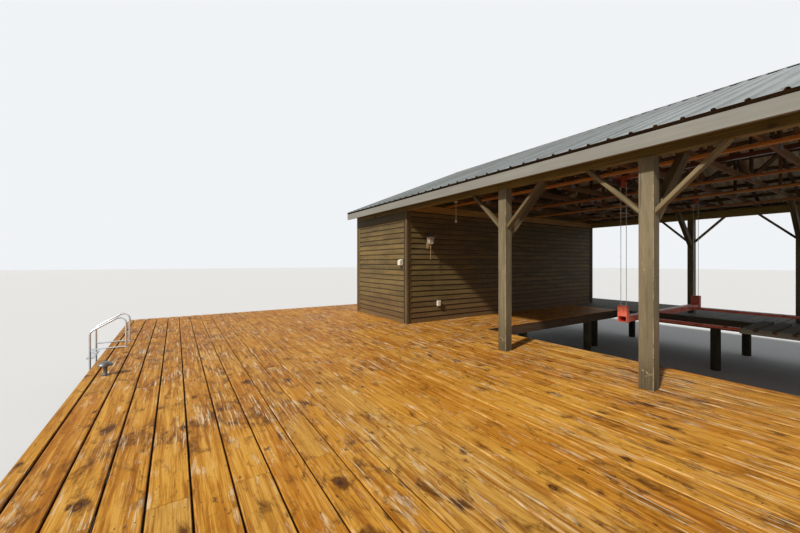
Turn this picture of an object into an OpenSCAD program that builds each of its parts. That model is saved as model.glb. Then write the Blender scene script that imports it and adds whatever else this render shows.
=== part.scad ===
// Open boat shelter with a storage room at its shore end, on timber docks round a boat slip.
// Until placed() moves it, x runs across with 0 under the ridge, y runs to the shore
// with 0 at the room's front face, and z is up with 0 at the top of the decks.

/* [Shelter] */
// Width over the outer faces of the posts
post_span = 7850; // [7000:10:9000]
// Side of a square post
post_size = 150; // [120:1:180]
// Height of the posts above the deck
post_h = 2595; // [2300:5:3000]
// Spacing of the posts along the shelter
bay = 2040; // [1800:10:2400]
// Number of open bays on the lake side of the first posts
bays = 3; // [2:1:4]
// Distance from the room's front face to the first posts
front_bay = 2810; // [2400:10:3200]

/* [Timber] */
// Thickness of the framing boards
board_t = 38; // [34:1:45]
// Depth of a truss chord, a web and a roof purlin's width
chord_d = 89; // [80:1:110]
// Depth of the plies of a side beam
beam_d = 150; // [140:1:240]
// Thickness of the plies of a side beam together
beam_w = 114; // [90:1:120]
// Beam that runs on past the last post
beam_tail = 60; // [20:5:200]
// Thickness of a knee brace, on edge under the side beam
brace_t = 44; // [38:1:89]
// Width of a knee brace across the side beam
brace_w = 95; // [70:1:114]
// Reach of a knee brace along the side beam
brace_leg = 610; // [500:10:800]
// Depth of a brace that runs in under a truss
cross_brace_d = 140; // [100:1:180]
// Thickness of a brace that runs in under a truss
cross_brace_t = 89; // [38:1:110]
// Reach of a brace that runs in under a truss
cross_brace_leg = 900; // [700:10:920]
// Middle of the inner runners under the trusses from the ridge line
runner_in = 750; // [300:10:1300]
// Middle of the outer runners under the trusses from the ridge line
runner_out = 2690; // [2200:10:2720]
// Number of truss spaces in each bay
truss_spaces = 3; // [2:1:4]
// Number of truss spaces between the first posts and the room
front_spaces = 4; // [3:1:5]

/* [Roof] */
// Rise of the roof for each 12 of run
pitch_rise = 5; // [4:0.25:7]
// Fascia's outer face beyond the posts' outer face
eave_out = 255; // [200:5:600]
// Barge board's outer face beyond the last truss at the lake end
gable_out = 320; // [100:5:500]
// Barge board's outer face beyond the room's back wall
shore_out = 60; // [50:5:500]
// Height of the fascia boards
fascia_h = 150; // [130:1:240]
// Roofing sheet that laps past the fascia and barge boards
sheet_lap = 30; // [15:1:60]
// Thickness of the roofing sheet
sheet_t = 1; // [0.8:0.1:2]
// Spacing of the sheet's ribs
rib_pitch = 229; // [150:1:305]
// Height of a rib
rib_h = 19; // [12:1:30]
// Width of a rib at its foot
rib_foot = 46; // [36:1:60]
// Width of a rib at its top
rib_top = 22; // [14:1:30]
// Widest spacing of the roof purlins down the slope
purlin_pitch = 610; // [400:10:700]
// Reach of the ridge cap down each slope
cap_reach = 170; // [120:5:250]

/* [Room] */
// Length of the room along the shelter
room_len = 2540; // [2200:10:3400]
// Wall face set in from the posts' outer face
room_inset = 45; // [20:1:60]
// Thickness of the room's walls with their siding
wall_t = 115; // [100:1:150]
// Thickness of the boarded gables above the walls
gable_t = 32; // [20:1:60]
// Thickness of the trim boards
trim_t = 19; // [12:1:30]
// Width of a corner board
corner_w = 60; // [50:1:140]
// Height of the frieze boards at the top of the side walls
frieze_h = 184; // [120:1:240]
// Height of the header board over the front wall
header_h = 150; // [120:1:170]

/* [Docks] */
// Width of the boat slip
slip_w = 5540; // [4800:10:6000]
// Width of the main deck
main_deck_w = 6510; // [5200:10:8000]
// Width of the dock on the far side of the slip
right_deck_w = 2800; // [2200:10:3600]
// Depth of the walkway in front of the room
walkway_d = 1380; // [1100:10:2000]
// Deck that runs on past the last posts
deck_tail = 770; // [450:10:1200]
// Main deck that runs on past the room's back wall
deck_shore = 1610; // [600:10:2500]
// Thickness of the deck boards
deck_t = 38; // [25:1:50]
// Depth of the joists and skirt boards
joist_d = 184; // [140:1:240]
// Widest spacing of the joists
joist_pitch = 620; // [400:10:700]
// Depth of the pile feet below the deck's top
foot_depth = 1250; // [1000:10:2400]
// Diameter of a pile
pile_d = 200; // [150:5:300]
// Widest spacing of the piles along a dock
pile_pitch = 3400; // [2400:50:4000]
// Edge of a deck to the middle of its outer beams
beam_inset = 150; // [150:5:300]

/* [Boat lift] */
// Width between the cables on the two sides
lift_w = 3320; // [2700:10:3400]
// Number of truss spaces between the two cross beams
lift_spaces = 5; // [4:1:5]
// Cross beam's underside above the deck
lift_z = 365; // [200:5:700]
// Width of a cross beam
cross_w = 130; // [100:1:160]
// Depth of a cross beam
cross_d = 100; // [90:1:160]
// Wall of the lift's steel tubes
tube_wall = 6; // [4:0.5:10]
// Side of the square rails between the cross beams
rail_size = 45; // [40:1:80]
// Width between the middles of the two rails
rail_span = 2400; // [1800:10:2500]
// Top of the rails below the cross beams' top
rail_drop = 35; // [0:1:45]
// Side of the square hoist rails on the trusses
hoist_size = 64; // [50:1:120]
// Hoist rail that runs on past its sheaves
hoist_tail = 250; // [150:10:900]
// Spacing of the two falls of cable at a corner
fall_gap = 90; // [80:1:130]
// Diameter of a lift cable
cable_d = 10; // [8:1:16]
// Length of a lift plank
plank_l = 1150; // [800:10:1200]
// Lift planks that run on past the rail towards the main deck
plank_over = 295; // [100:5:340]
// Width of the timber bunk under the planks' inner ends
bunk_w = 89; // [60:1:140]
// Width of the cleat that ties the planks' outer ends
cleat_w = 64; // [38:1:90]
// Width of a lift plank
plank_w = 140; // [100:1:180]
// Spacing of the lift planks
plank_pitch = 187; // [182:1:240]
// Shore edge of the first plank from the first cross beam
plank_start = 1470; // [400:10:1700]

/* [Fittings] */
// Lantern's middle from the room's front corner
lantern_x = 600; // [300:10:1200]
// Height of the middle of the lantern's head
lantern_z = 1935; // [1700:5:2200]
// Lantern's middle from the wall
lantern_out = 130; // [125:5:200]
// Outlet box's middle from the room's front corner
outlet_x = 915; // [300:10:1400]
// Height of the outlet box's middle
outlet_z = 425; // [250:5:900]
// Side outlet's middle from the room's front corner
side_outlet_y = 200; // [130:10:1200]
// Height of the side outlet's middle
side_outlet_z = 1410; // [300:10:1800]
// Pendant lamp's stem from the room's front corner
pendant_x = 900; // [400:10:1000]
// Drop of the pendant lamp below the trusses
pendant_drop = 470; // [350:10:700]
// Swim ladder's middle on the shore side of the room's front face
ladder_y = 1000; // [0:10:2400]
// Width between the swim ladder's rails
ladder_w = 530; // [420:5:620]
// Height of the ladder's hand rails above the deck at their deck side
ladder_h = 500; // [440:5:700]
// Fall of the hand rails towards the water, in degrees
ladder_fall = 30; // [15:1:35]
// Diameter of the ladder's tube
ladder_tube = 30; // [25:1:38]
// Outer leg of the ladder beyond the deck's edge
ladder_out = 200; // [120:5:260]
// Distance between the two legs of a hand rail
ladder_span = 460; // [420:5:600]
// Depth of a ladder tread
tread_d = 90; // [60:1:120]
// Spacing of the ladder's treads
tread_pitch = 280; // [240:5:320]
// Dock light's middle on the lake side of the room's front face
light_y = 950; // [300:10:2500]
// Dock light's middle from the deck's outer edge
light_in = 210; // [120:10:600]

/* [Hidden] */

// Shelter
post_half = post_span / 2;
post_in = post_half - post_size;
post_x = post_half - post_size / 2;
seat_z = post_h + beam_d + board_t;
post_ys = [for (i = [0 : bays]) -front_bay - i * bay];
last_post_y = post_ys[bays];
room_half = post_half - room_inset;
beam_y0 = last_post_y - post_size / 2 - beam_tail;

// Roof
slope = pitch_rise / 12;
slope_len = sqrt(1 + slope * slope);
slope_a = atan(slope);
eave_x = post_half + eave_out;
roof_y0 = last_post_y - board_t / 2 - gable_out;
roof_y1 = room_len + shore_out;
rafter_v = chord_d * slope_len;
purlin_v = board_t * slope_len;
function rafter_under(x) = seat_z + (post_half - abs(x)) * slope;
function rafter_over(x) = rafter_under(x) + rafter_v;
function sheet_under(x) = rafter_over(x) + purlin_v;
// Clearance under a sloping seat
seat_gap = 0.3;
function web_top(x) = rafter_under(x) - seat_gap;
fascia_z1 = rafter_over(eave_x);
fascia_z0 = fascia_z1 - fascia_h;
ridge_gap = 30;

// Trusses
truss_step = bay / truss_spaces;
front_truss_y = gable_t + board_t / 2;
back_truss_y = room_len - gable_t - board_t / 2;
front_step = (front_bay + front_truss_y) / front_spaces;
room_step = (back_truss_y - front_truss_y) / 4;
truss_ys = concat(
    [for (i = [bays * truss_spaces : -1 : 0]) -front_bay - i * truss_step],
    [for (i = [1 : front_spaces - 1]) -front_bay + i * front_step],
    [for (i = [0 : 4]) front_truss_y + i * room_step]
);
chord_top = seat_z + chord_d;
panel = post_half / 2;

// Docks
slip_half = slip_w / 2;
main_x0 = -slip_half - main_deck_w;
right_x1 = slip_half + right_deck_w;
deck_y0 = last_post_y - deck_tail;
deck_y1 = room_len + deck_shore;
frame_z0 = -deck_t - joist_d;
beam2_t = 2 * board_t;

// Boat lift
cable_x = lift_w / 2;
cable_off = board_t / 2 + fall_gap / 2 + cable_d + 14;
cross_ys = [for (i = [1, 1 + lift_spaces]) -front_bay - i * truss_step - cable_off];
cross_top = lift_z + cross_d;
rail_top = cross_top - rail_drop;
bracket_h = 190;
bracket_t = 100;
bracket_top = cross_top + bracket_h;
sheave_drop = 130;
sheave_t = 60;
sheave_z0 = chord_top - sheave_drop;
cheek_drop = 5;
rail_x = rail_span / 2;
plank_x0 = -rail_x - plank_over;
plank_n = floor((lift_spaces * truss_step - cross_w / 2 - plank_start) / plank_pitch);

// Swim ladder: its bends, how much thinner they are than the tube, and the tube's lap over them
bend_r = 3 * ladder_tube;
bend_thin = 1;
bend_lap = 5;

// Whole part: its corner in x and y and the shift to the middle of its foot
ladder_x = main_x0 - ladder_out;
part_x0 = ladder_x - max(tread_d, ladder_tube) / 2;
part_cx = (part_x0 + right_x1) / 2;
part_cy = (deck_y0 + deck_y1) / 2;

module placed() {
    translate([-part_cx, -part_cy, foot_depth]) children();
}

// A block between two corners
module block(low, high) {
    translate(low) cube(high - low);
}

// An outline in x and z, t thick in y from y0
module upright_x(y0, t) {
    translate([0, y0 + t, 0]) rotate([90, 0, 0]) linear_extrude(t) children();
}

// An outline in y and z, t thick in x from x0
module upright_y(x0, t) {
    translate([x0, 0, 0]) rotate([90, 0, 90]) linear_extrude(t) children();
}

module both_sides() {
    children();
    mirror([1, 0, 0]) children();
}

// The right-hand slope laid flat: x runs down the slope from the ridge, z is square to it
module on_slope() {
    translate([0, 0, sheet_under(0)]) rotate([0, slope_a, 0]) children();
}

// Evenly spread places from low to high, no further apart than pitch
function spread(low, high, pitch) =
    let (n = ceil((high - low) / pitch))
    [for (i = [0 : n]) low + (high - low) * i / n];

// Docks

module main_deck() {
    color("peru") block([main_x0, deck_y0, -deck_t], [-slip_half, deck_y1, 0]);
}

module walkway_deck() {
    color("sienna") block([-slip_half, -walkway_d, -deck_t], [slip_half, room_len, 0]);
}

module right_deck() {
    color("dimgray") block([slip_half, deck_y0, -deck_t], [right_x1, room_len, 0]);
}

// Skirt boards under the long edges of the docks
module dock_side_skirts() {
    color("saddlebrown") {
        block([main_x0, deck_y0, frame_z0], [main_x0 + board_t, deck_y1, -deck_t]);
        block([-slip_half - board_t, deck_y0, frame_z0], [-slip_half, deck_y1, -deck_t]);
        block([slip_half, deck_y0, frame_z0], [slip_half + board_t, room_len, -deck_t]);
        block([right_x1 - board_t, deck_y0, frame_z0], [right_x1, room_len, -deck_t]);
    }
}

// Skirt boards across the ends, and the deeper-set one below the walkway's lip
module dock_end_skirts() {
    color("saddlebrown") {
        for (y = [deck_y0, deck_y1 - board_t])
            block([main_x0 + board_t, y, frame_z0], [-slip_half - board_t, y + board_t, -deck_t]);
        for (y = [deck_y0, room_len - board_t])
            block([slip_half + board_t, y, frame_z0], [right_x1 - board_t, y + board_t, -deck_t]);
        block([-slip_half, -walkway_d, frame_z0], [slip_half, -walkway_d + board_t, -deck_t]);
        block([-slip_half, room_len - board_t, frame_z0], [slip_half, room_len, -deck_t]);
    }
}

main_beam_xs = [
    main_x0 + beam_inset,
    (main_x0 - slip_half) / 2,
    -slip_half - beam_inset
];
right_beam_xs = [slip_half + beam_inset, right_x1 - beam_inset];
walkway_beam_xs = [-slip_half / 2, slip_half / 2];

module beam_line(x, y0, y1) {
    block([x - beam2_t / 2, y0 + board_t, frame_z0], [x + beam2_t / 2, y1 - board_t, -deck_t]);
}

module dock_beams() {
    color("saddlebrown") {
        for (x = main_beam_xs) beam_line(x, deck_y0, deck_y1);
        for (x = right_beam_xs) beam_line(x, deck_y0, room_len);
        for (x = walkway_beam_xs) beam_line(x, -walkway_d, room_len);
    }
}

// Joists from one beam to the next
module joist_row(x0, x1, y0, y1) {
    ys = spread(y0 + board_t, y1 - board_t, joist_pitch);
    for (i = [1 : len(ys) - 2])
        block([x0, ys[i] - board_t / 2, frame_z0], [x1, ys[i] + board_t / 2, -deck_t]);
}

module dock_joists() {
    color("saddlebrown") {
        for (i = [0, 1])
            joist_row(main_beam_xs[i] + board_t, main_beam_xs[i + 1] - board_t, deck_y0, deck_y1);
        joist_row(right_beam_xs[0] + board_t, right_beam_xs[1] - board_t, deck_y0, room_len);
    }
}

// The walkway's boards run across, so its joists run along
module walkway_joists() {
    fields = [
        [-slip_half, walkway_beam_xs[0] - board_t],
        [walkway_beam_xs[0] + board_t, walkway_beam_xs[1] - board_t],
        [walkway_beam_xs[1] + board_t, slip_half]
    ];
    color("saddlebrown")
        for (f = fields) {
            xs = spread(f[0], f[1], joist_pitch);
            for (i = [1 : len(xs) - 2])
                block([xs[i] - board_t / 2, -walkway_d + board_t, frame_z0],
                      [xs[i] + board_t / 2, room_len - board_t, -deck_t]);
        }
}

module pile(x, y) {
    translate([x, y, -foot_depth]) cylinder(d = pile_d, h = foot_depth + frame_z0, $fn = 32);
}

module dock_piles() {
    color("dimgray") {
        for (x = main_beam_xs, y = spread(deck_y0 + beam_inset, deck_y1 - beam_inset, pile_pitch))
            pile(x, y);
        for (x = right_beam_xs, y = spread(deck_y0 + beam_inset, room_len - beam_inset, pile_pitch))
            pile(x, y);
        for (x = walkway_beam_xs, y = [-walkway_d + beam_inset, room_len - beam_inset])
            pile(x, y);
    }
}

// Posts, beams and braces

module posts() {
    color("rosybrown")
        both_sides()
            for (y = post_ys)
                block([post_in, y - post_size / 2, 0], [post_half, y + post_size / 2, post_h]);
}

module side_beams() {
    color("olivedrab")
        both_sides() {
            block([post_x - beam_w / 2, beam_y0, post_h],
                  [post_x + beam_w / 2, room_len, post_h + beam_d]);
            block([post_in, beam_y0, post_h + beam_d], [post_half, room_len, seat_z]);
        }
}

// A 45 degree brace in its own plane, with the corner that it stiffens at the origin
module brace_outline(leg, depth) {
    half = depth / sqrt(2);
    polygon([[0, -leg - half], [0, -leg + half], [leg - half, 0], [leg + half, 0]]);
}

module side_braces() {
    x0 = post_x - brace_w / 2;
    color("rosybrown")
        both_sides()
            for (i = [0 : bays]) {
                y = post_ys[i];
                upright_y(x0, brace_w)
                    translate([y + post_size / 2, post_h]) brace_outline(brace_leg, brace_t);
                if (i < bays)
                    upright_y(x0, brace_w)
                        translate([y - post_size / 2, post_h])
                            mirror([1, 0]) brace_outline(brace_leg, brace_t);
            }
}

module cross_braces() {
    t = cross_brace_t;
    color("darkkhaki")
        both_sides()
            for (y = post_ys)
                upright_x(y - t / 2, t)
                    translate([post_in, seat_z]) mirror([1, 0])
                        brace_outline(cross_brace_leg, cross_brace_d);
}

// Trusses

module at_trusses() {
    for (y = truss_ys) upright_x(y - board_t / 2, board_t) children();
}

module truss_bottom_chords() {
    foot_half = post_half - seat_gap / slope;
    top_half = foot_half - chord_d / slope;
    color("sienna")
        at_trusses()
            polygon([
                [-foot_half, seat_z], [foot_half, seat_z],
                [top_half, chord_top], [-top_half, chord_top]
            ]);
}

module rafter_outline() {
    tail = eave_x - board_t;
    polygon([
        [0, rafter_under(0)], [tail, rafter_under(tail)],
        [tail, rafter_over(tail)], [0, rafter_over(0)]
    ]);
}

module left_rafters() {
    color("sienna") at_trusses() mirror([1, 0]) rafter_outline();
}

module right_rafters() {
    color("sienna") at_trusses() rafter_outline();
}

// The king post and a post at each quarter point
module truss_posts() {
    w = chord_d / 2;
    color("sienna")
        at_trusses() {
            polygon([
                [-w, chord_top], [w, chord_top],
                [w, web_top(w)], [0, web_top(0)], [-w, web_top(w)]
            ]);
            for (s = [-1, 1])
                polygon([
                    [s * (panel - w), chord_top], [s * (panel + w), chord_top],
                    [s * (panel + w), web_top(panel + w)],
                    [s * (panel - w), web_top(panel - w)]
                ]);
        }
}

// From the king post's foot to the heads of the quarter posts, cut to fit between them
module diagonal_outline() {
    x0 = chord_d / 2;
    x1 = panel - chord_d / 2;
    rise = rafter_under(x1) - chord_top;
    intersection() {
        polygon([
            [x0, chord_top], [x1, chord_top], [x1, web_top(x1)], [x0, web_top(x0)]
        ]);
        translate([x0, chord_top]) rotate(atan(rise / (x1 - x0)))
            translate([-chord_d, -chord_d / 2]) square([2 * panel, chord_d]);
    }
}

module truss_diagonals() {
    color("sienna")
        at_trusses() {
            diagonal_outline();
            mirror([1, 0]) diagonal_outline();
        }
}

// Boards along the shelter under the trusses
module truss_runners() {
    color("chocolate")
        for (x = [-runner_out, -runner_in, runner_in, runner_out])
            block([x - chord_d / 2, beam_y0, seat_z - board_t], [x + chord_d / 2, 0, seat_z]);
}

// Roof

module roof_purlins() {
    first = ridge_gap + chord_d / 2;
    last = (eave_x - board_t) * slope_len - chord_d / 2;
    color("tan")
        both_sides()
            on_slope()
                for (u = spread(first, last, purlin_pitch))
                    block([u - chord_d / 2, roof_y0 + board_t, -board_t],
                          [u + chord_d / 2, roof_y1 - board_t, 0]);
}

// Underside of the ribbed sheet as points in y and z, from one end to the other
function rib_line(y0, y1) =
    let (
        n = floor((y1 - y0 - rib_foot) / rib_pitch),
        first = (y0 + y1 - n * rib_pitch) / 2
    )
    concat(
        [[y0, 0]],
        [for (i = [0 : n], p = [[-rib_foot, 0], [-rib_top, rib_h], [rib_top, rib_h], [rib_foot, 0]])
            [first + i * rib_pitch + p[0] / 2, p[1]]],
        [[y1, 0]]
    );

module ribbed_sheet() {
    line = rib_line(roof_y0 - sheet_lap, roof_y1 + sheet_lap);
    n = len(line);
    back = [for (i = [n - 1 : -1 : 0]) [line[i][0], line[i][1] + sheet_t]];
    run = (eave_x + sheet_lap) * slope_len - ridge_gap;
    on_slope() upright_y(ridge_gap, run) polygon(concat(line, back));
}

module left_roof_sheet() {
    color("lightsteelblue") mirror([1, 0, 0]) ribbed_sheet();
}

module right_roof_sheet() {
    color("lightsteelblue") ribbed_sheet();
}

// A bent sheet that lies on the tops of the ribs
module ridge_cap() {
    rise = (rib_h + sheet_t + seat_gap) * slope_len;
    x = cap_reach / slope_len;
    under = [for (p = [-x, 0, x]) [p, sheet_under(p) + rise]];
    over = [for (p = [x, 0, -x]) [p, sheet_under(p) + rise + sheet_t * slope_len]];
    y0 = roof_y0 - sheet_lap;
    color("lightsteelblue")
        upright_x(y0, roof_y1 + sheet_lap - y0) polygon(concat(under, over));
}

module eave_fascias() {
    color("tan")
        both_sides()
            block([eave_x - board_t, roof_y0 + board_t, fascia_z0],
                  [eave_x, roof_y1 - board_t, fascia_z1]);
}

// The boards up the two gable ends of one slope, level with the fascia at the eave
module barge_pair() {
    v = sheet_under(eave_x) - fascia_z0;
    for (y = [roof_y0, roof_y1 - board_t])
        upright_x(y, board_t)
            polygon([
                [0, sheet_under(0)], [eave_x, sheet_under(eave_x)],
                [eave_x, sheet_under(eave_x) - v], [0, sheet_under(0) - v]
            ]);
}

module left_barge_boards() {
    color("tan") mirror([1, 0, 0]) barge_pair();
}

module right_barge_boards() {
    color("tan") barge_pair();
}

// Room

module side_wall() {
    block([room_half - wall_t, 0, 0], [room_half, room_len, post_h]);
}

module cross_wall(y) {
    x = room_half - wall_t;
    block([-x, y, 0], [x, y + wall_t, post_h]);
}

module left_wall() {
    color("darkolivegreen") mirror([1, 0, 0]) side_wall();
}

module right_wall() {
    color("darkolivegreen") side_wall();
}

module front_wall() {
    color("darkolivegreen") cross_wall(0);
}

module back_wall() {
    color("darkolivegreen") cross_wall(room_len - wall_t);
}

// Boarding above a wall, between the side beams and up to the purlins
module gable(y) {
    upright_x(y, gable_t)
        polygon([
            [-post_in, post_h], [post_in, post_h], [post_in, seat_z], [post_half, seat_z],
            [post_half, rafter_over(post_half)], [0, rafter_over(0)],
            [-post_half, rafter_over(post_half)], [-post_half, seat_z], [-post_in, seat_z]
        ]);
}

module front_gable() {
    color("darkolivegreen") gable(0);
}

module back_gable() {
    color("darkolivegreen") gable(room_len - gable_t);
}

module front_header() {
    color("goldenrod") block([-post_in, -board_t, post_h], [post_in, 0, post_h + header_h]);
}

module corner_board() {
    x = room_half + trim_t;
    translate([0, -trim_t, 0])
        linear_extrude(post_h)
            polygon([
                [x, 0], [x, corner_w], [room_half, corner_w],
                [room_half, trim_t], [x - corner_w, trim_t], [x - corner_w, 0]
            ]);
}

module corner_boards() {
    color("darkolivegreen")
        both_sides() {
            corner_board();
            translate([0, room_len, 0]) mirror([0, 1, 0]) corner_board();
        }
}

module side_friezes() {
    gap = corner_w - trim_t;
    color("darkolivegreen")
        both_sides()
            block([room_half, gap, post_h - frieze_h],
                  [room_half + trim_t, room_len - gap, post_h]);
}

// Boat lift

module hoist_rails() {
    y0 = cross_ys[1] - hoist_tail;
    y1 = cross_ys[0] + hoist_tail;
    inner = hoist_size / 2 - tube_wall;
    color("firebrick")
        both_sides()
            upright_x(y0, y1 - y0)
                translate([cable_x, chord_top + hoist_size / 2])
                    difference() {
                        square(hoist_size, center = true);
                        square(2 * inner, center = true);
                    }
}

// A sheave between two cheek plates under the hoist rail
module hoist_sheaves() {
    plate = 8;
    r = (fall_gap - cable_d) / 2;
    mid_z = chord_top - sheave_drop / 2;
    color("firebrick")
        both_sides()
            for (y = cross_ys) {
                for (x = [cable_x - sheave_t / 2, cable_x + sheave_t / 2 - plate])
                    block([x, y - r, sheave_z0], [x + plate, y + r, chord_top]);
                translate([cable_x - sheave_t / 2 + plate, y, mid_z])
                    rotate([0, 90, 0]) cylinder(r = r, h = sheave_t - 2 * plate, $fn = 48);
            }
}

// Square-ended tubes, open at the ends
module lift_cross_beams() {
    reach = cable_x + bracket_t / 2;
    w = tube_wall;
    color("salmon")
        for (y = cross_ys)
            upright_y(-reach, 2 * reach)
                translate([y, lift_z + cross_d / 2])
                    difference() {
                        square([cross_w, cross_d], center = true);
                        square([cross_w - 2 * w, cross_d - 2 * w], center = true);
                    }
}

module lift_rails() {
    inner = rail_size - 2 * tube_wall;
    y0 = cross_ys[1] + cross_w / 2;
    y1 = cross_ys[0] - cross_w / 2;
    color("salmon")
        for (x = [-rail_x, rail_x])
            upright_x(y0, y1 - y0)
                translate([x, rail_top - rail_size / 2])
                    difference() {
                        square(rail_size, center = true);
                        square(inner, center = true);
                    }
}

// A housing over each end of a cross beam, with the lower sheave's pin through it
module lift_brackets() {
    color("salmon")
        both_sides()
            for (y = cross_ys) {
                block([cable_x - bracket_t / 2, y - cross_w / 2 - 15, cross_top],
                      [cable_x + bracket_t / 2, y + cross_w / 2 + 15, bracket_top]);
                for (s = [-1, 1])
                    translate([0, y + s * (cross_w / 2 + 7.5), 0])
                        block([cable_x - bracket_t / 2, -7.5, lift_z - cheek_drop],
                              [cable_x + bracket_t / 2, 7.5, cross_top]);
            }
}

// Planks over the near rail and a bunk on edge, with a cleat under their outer ends
module lift_planks() {
    y1 = cross_ys[0] - plank_start;
    y0 = y1 - (plank_n - 1) * plank_pitch - plank_w;
    bunk_x = plank_x0 + plank_l - bunk_w;
    color("wheat") {
        for (i = [0 : plank_n - 1])
            translate([plank_x0, y1 - i * plank_pitch - plank_w, rail_top])
                cube([plank_l, plank_w, board_t]);
        block([plank_x0, y0, rail_top - board_t], [plank_x0 + cleat_w, y1, rail_top]);
        block([bunk_x, cross_ys[1] + cross_w / 2, lift_z],
              [bunk_x + bunk_w, cross_ys[0] - cross_w / 2, rail_top]);
    }
}

module lift_cables() {
    color("silver")
        both_sides()
            for (y = cross_ys, s = [-1, 1])
                translate([cable_x, y + s * fall_gap / 2, bracket_top])
                    cylinder(d = cable_d, h = chord_top - sheave_drop / 2 - bracket_top, $fn = 16);
}

// Fittings

// A six-sided head over a long spike, carried on an arm with a scroll
module wall_lantern() {
    x = -room_half + lantern_x;
    arm_z = -135;
    arm_r = 9;
    scroll_r = 30;
    color("saddlebrown")
        translate([x, 0, lantern_z]) {
            block([-35, -12, arm_z - 60], [35, 0, arm_z + 90]);
            translate([0, -8, arm_z])
                rotate([90, 0, 0]) cylinder(r = arm_r, h = lantern_out - 8, $fn = 24);
            translate([0, -lantern_out / 2, arm_z + scroll_r])
                rotate([0, 90, 0])
                    rotate_extrude($fn = 48) translate([scroll_r, 0]) circle(r = 5, $fn = 16);
            translate([0, -lantern_out, 0]) {
                rotate_extrude($fn = 48)
                    polygon([
                        [0, -460], [4, -456], [10, -165], [22, -152], [22, -140], [12, -128],
                        [14, -114], [44, -100], [44, -84], [0, -84]
                    ]);
                rotate_extrude($fn = 6)
                    polygon([
                        [0, -96], [72, -96], [80, -86], [98, 70], [117, 76], [117, 84],
                        [46, 128], [46, 146], [0, 146]
                    ]);
                rotate_extrude($fn = 32)
                    polygon([[0, 140], [22, 140], [12, 150], [16, 162], [10, 174], [0, 180]]);
            }
        }
}

// A flat outlet low on the front wall and one under a hood on the side wall
module outlet_box() {
    color("whitesmoke") {
        translate([-room_half + outlet_x, 0, outlet_z]) {
            block([-40, -45, -62], [40, 0, 62]);
            block([-46, -52, -68], [46, -45, 68]);
        }
        translate([-room_half, side_outlet_y, side_outlet_z])
            upright_x(-50, 100)
                polygon([
                    [0, -73], [-20, -73], [-20, -66], [-85, -66], [-90, -58], [-90, 34],
                    [-62, 66], [-20, 66], [-20, 73], [0, 73]
                ]);
    }
}

// A stem with a bare globe, hung from the truss nearest the room
module pendant_lamp() {
    x = -room_half + pendant_x;
    y = -front_bay + (front_spaces - 1) * front_step;
    globe = 55;
    color("white")
        translate([x, y, seat_z]) {
            translate([0, 0, -12]) cylinder(d = 90, h = 12, $fn = 32);
            translate([0, 0, -pendant_drop + globe / 2])
                cylinder(d = 10, h = pendant_drop - globe / 2, $fn = 20);
            translate([0, 0, -pendant_drop + globe / 2]) sphere(d = globe, $fn = 32);
        }
}

// A tube's straight run up from the origin, lapped over the bends at its ends
module ladder_run(length, lap_low, lap_high) {
    translate([0, 0, -lap_low])
        cylinder(r = ladder_tube / 2, h = length + lap_low + lap_high, $fn = 24);
}

// A bend from straight up towards -x, drawn a little thinner as bending leaves it
module ladder_bend(turn) {
    r = ladder_tube / 2 - bend_thin;
    translate([-bend_r, 0, 0])
        rotate([90, 0, 0])
            rotate_extrude(angle = turn, $fn = 64) translate([bend_r, 0]) circle(r = r, $fn = 24);
}

// To the end of a bend, with its run straight up
module after_bend(turn) {
    translate([-bend_r, 0, 0]) rotate([0, -turn, 0]) translate([bend_r, 0, 0]) children();
}

// One side: up from the deck, down a sloping hand rail and on down into the water
module ladder_side() {
    deck_z = ladder_h - bend_r;
    deck_turn = 90 + ladder_fall;
    water_turn = 90 - ladder_fall;
    deck_tangent = bend_r * tan(deck_turn / 2);
    water_tangent = bend_r * tan(water_turn / 2);
    slide = ladder_span / cos(ladder_fall);
    rail = slide - deck_tangent - water_tangent;
    water_z = deck_z + deck_tangent - slide * sin(ladder_fall) - water_tangent;
    foot = foot_depth - 150;
    cylinder(r = ladder_tube, h = 8, $fn = 32);
    ladder_run(deck_z, 0, bend_lap);
    translate([0, 0, deck_z]) {
        ladder_bend(deck_turn);
        after_bend(deck_turn) {
            ladder_run(rail, bend_lap, bend_lap);
            translate([0, 0, rail]) ladder_bend(water_turn);
        }
    }
    translate([-ladder_span, 0, -foot]) ladder_run(foot + water_z, 0, bend_lap);
    translate([-ladder_span, 0, ladder_tube / 2])
        rotate([0, 90, 0]) cylinder(d = 0.8 * ladder_tube, h = ladder_span, $fn = 24);
}

module swim_ladder() {
    tread_t = 25;
    first = 110;
    color("silver")
        translate([ladder_x, ladder_y, 0]) {
            for (s = [-1, 1])
                translate([ladder_span, s * ladder_w / 2, 0]) ladder_side();
            for (z = [-first : -tread_pitch : 150 - foot_depth])
                block([-tread_d / 2, -ladder_w / 2, z - tread_t], [tread_d / 2, ladder_w / 2, z]);
        }
}

module dock_light() {
    color("gray")
        translate([main_x0 + light_in, -light_y, 0])
            rotate_extrude($fn = 48)
                polygon([
                    [0, 0], [45, 0], [45, 8], [22, 12], [22, 120], [75, 118], [80, 130],
                    [60, 158], [30, 172], [0, 176]
                ]);
}

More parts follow.
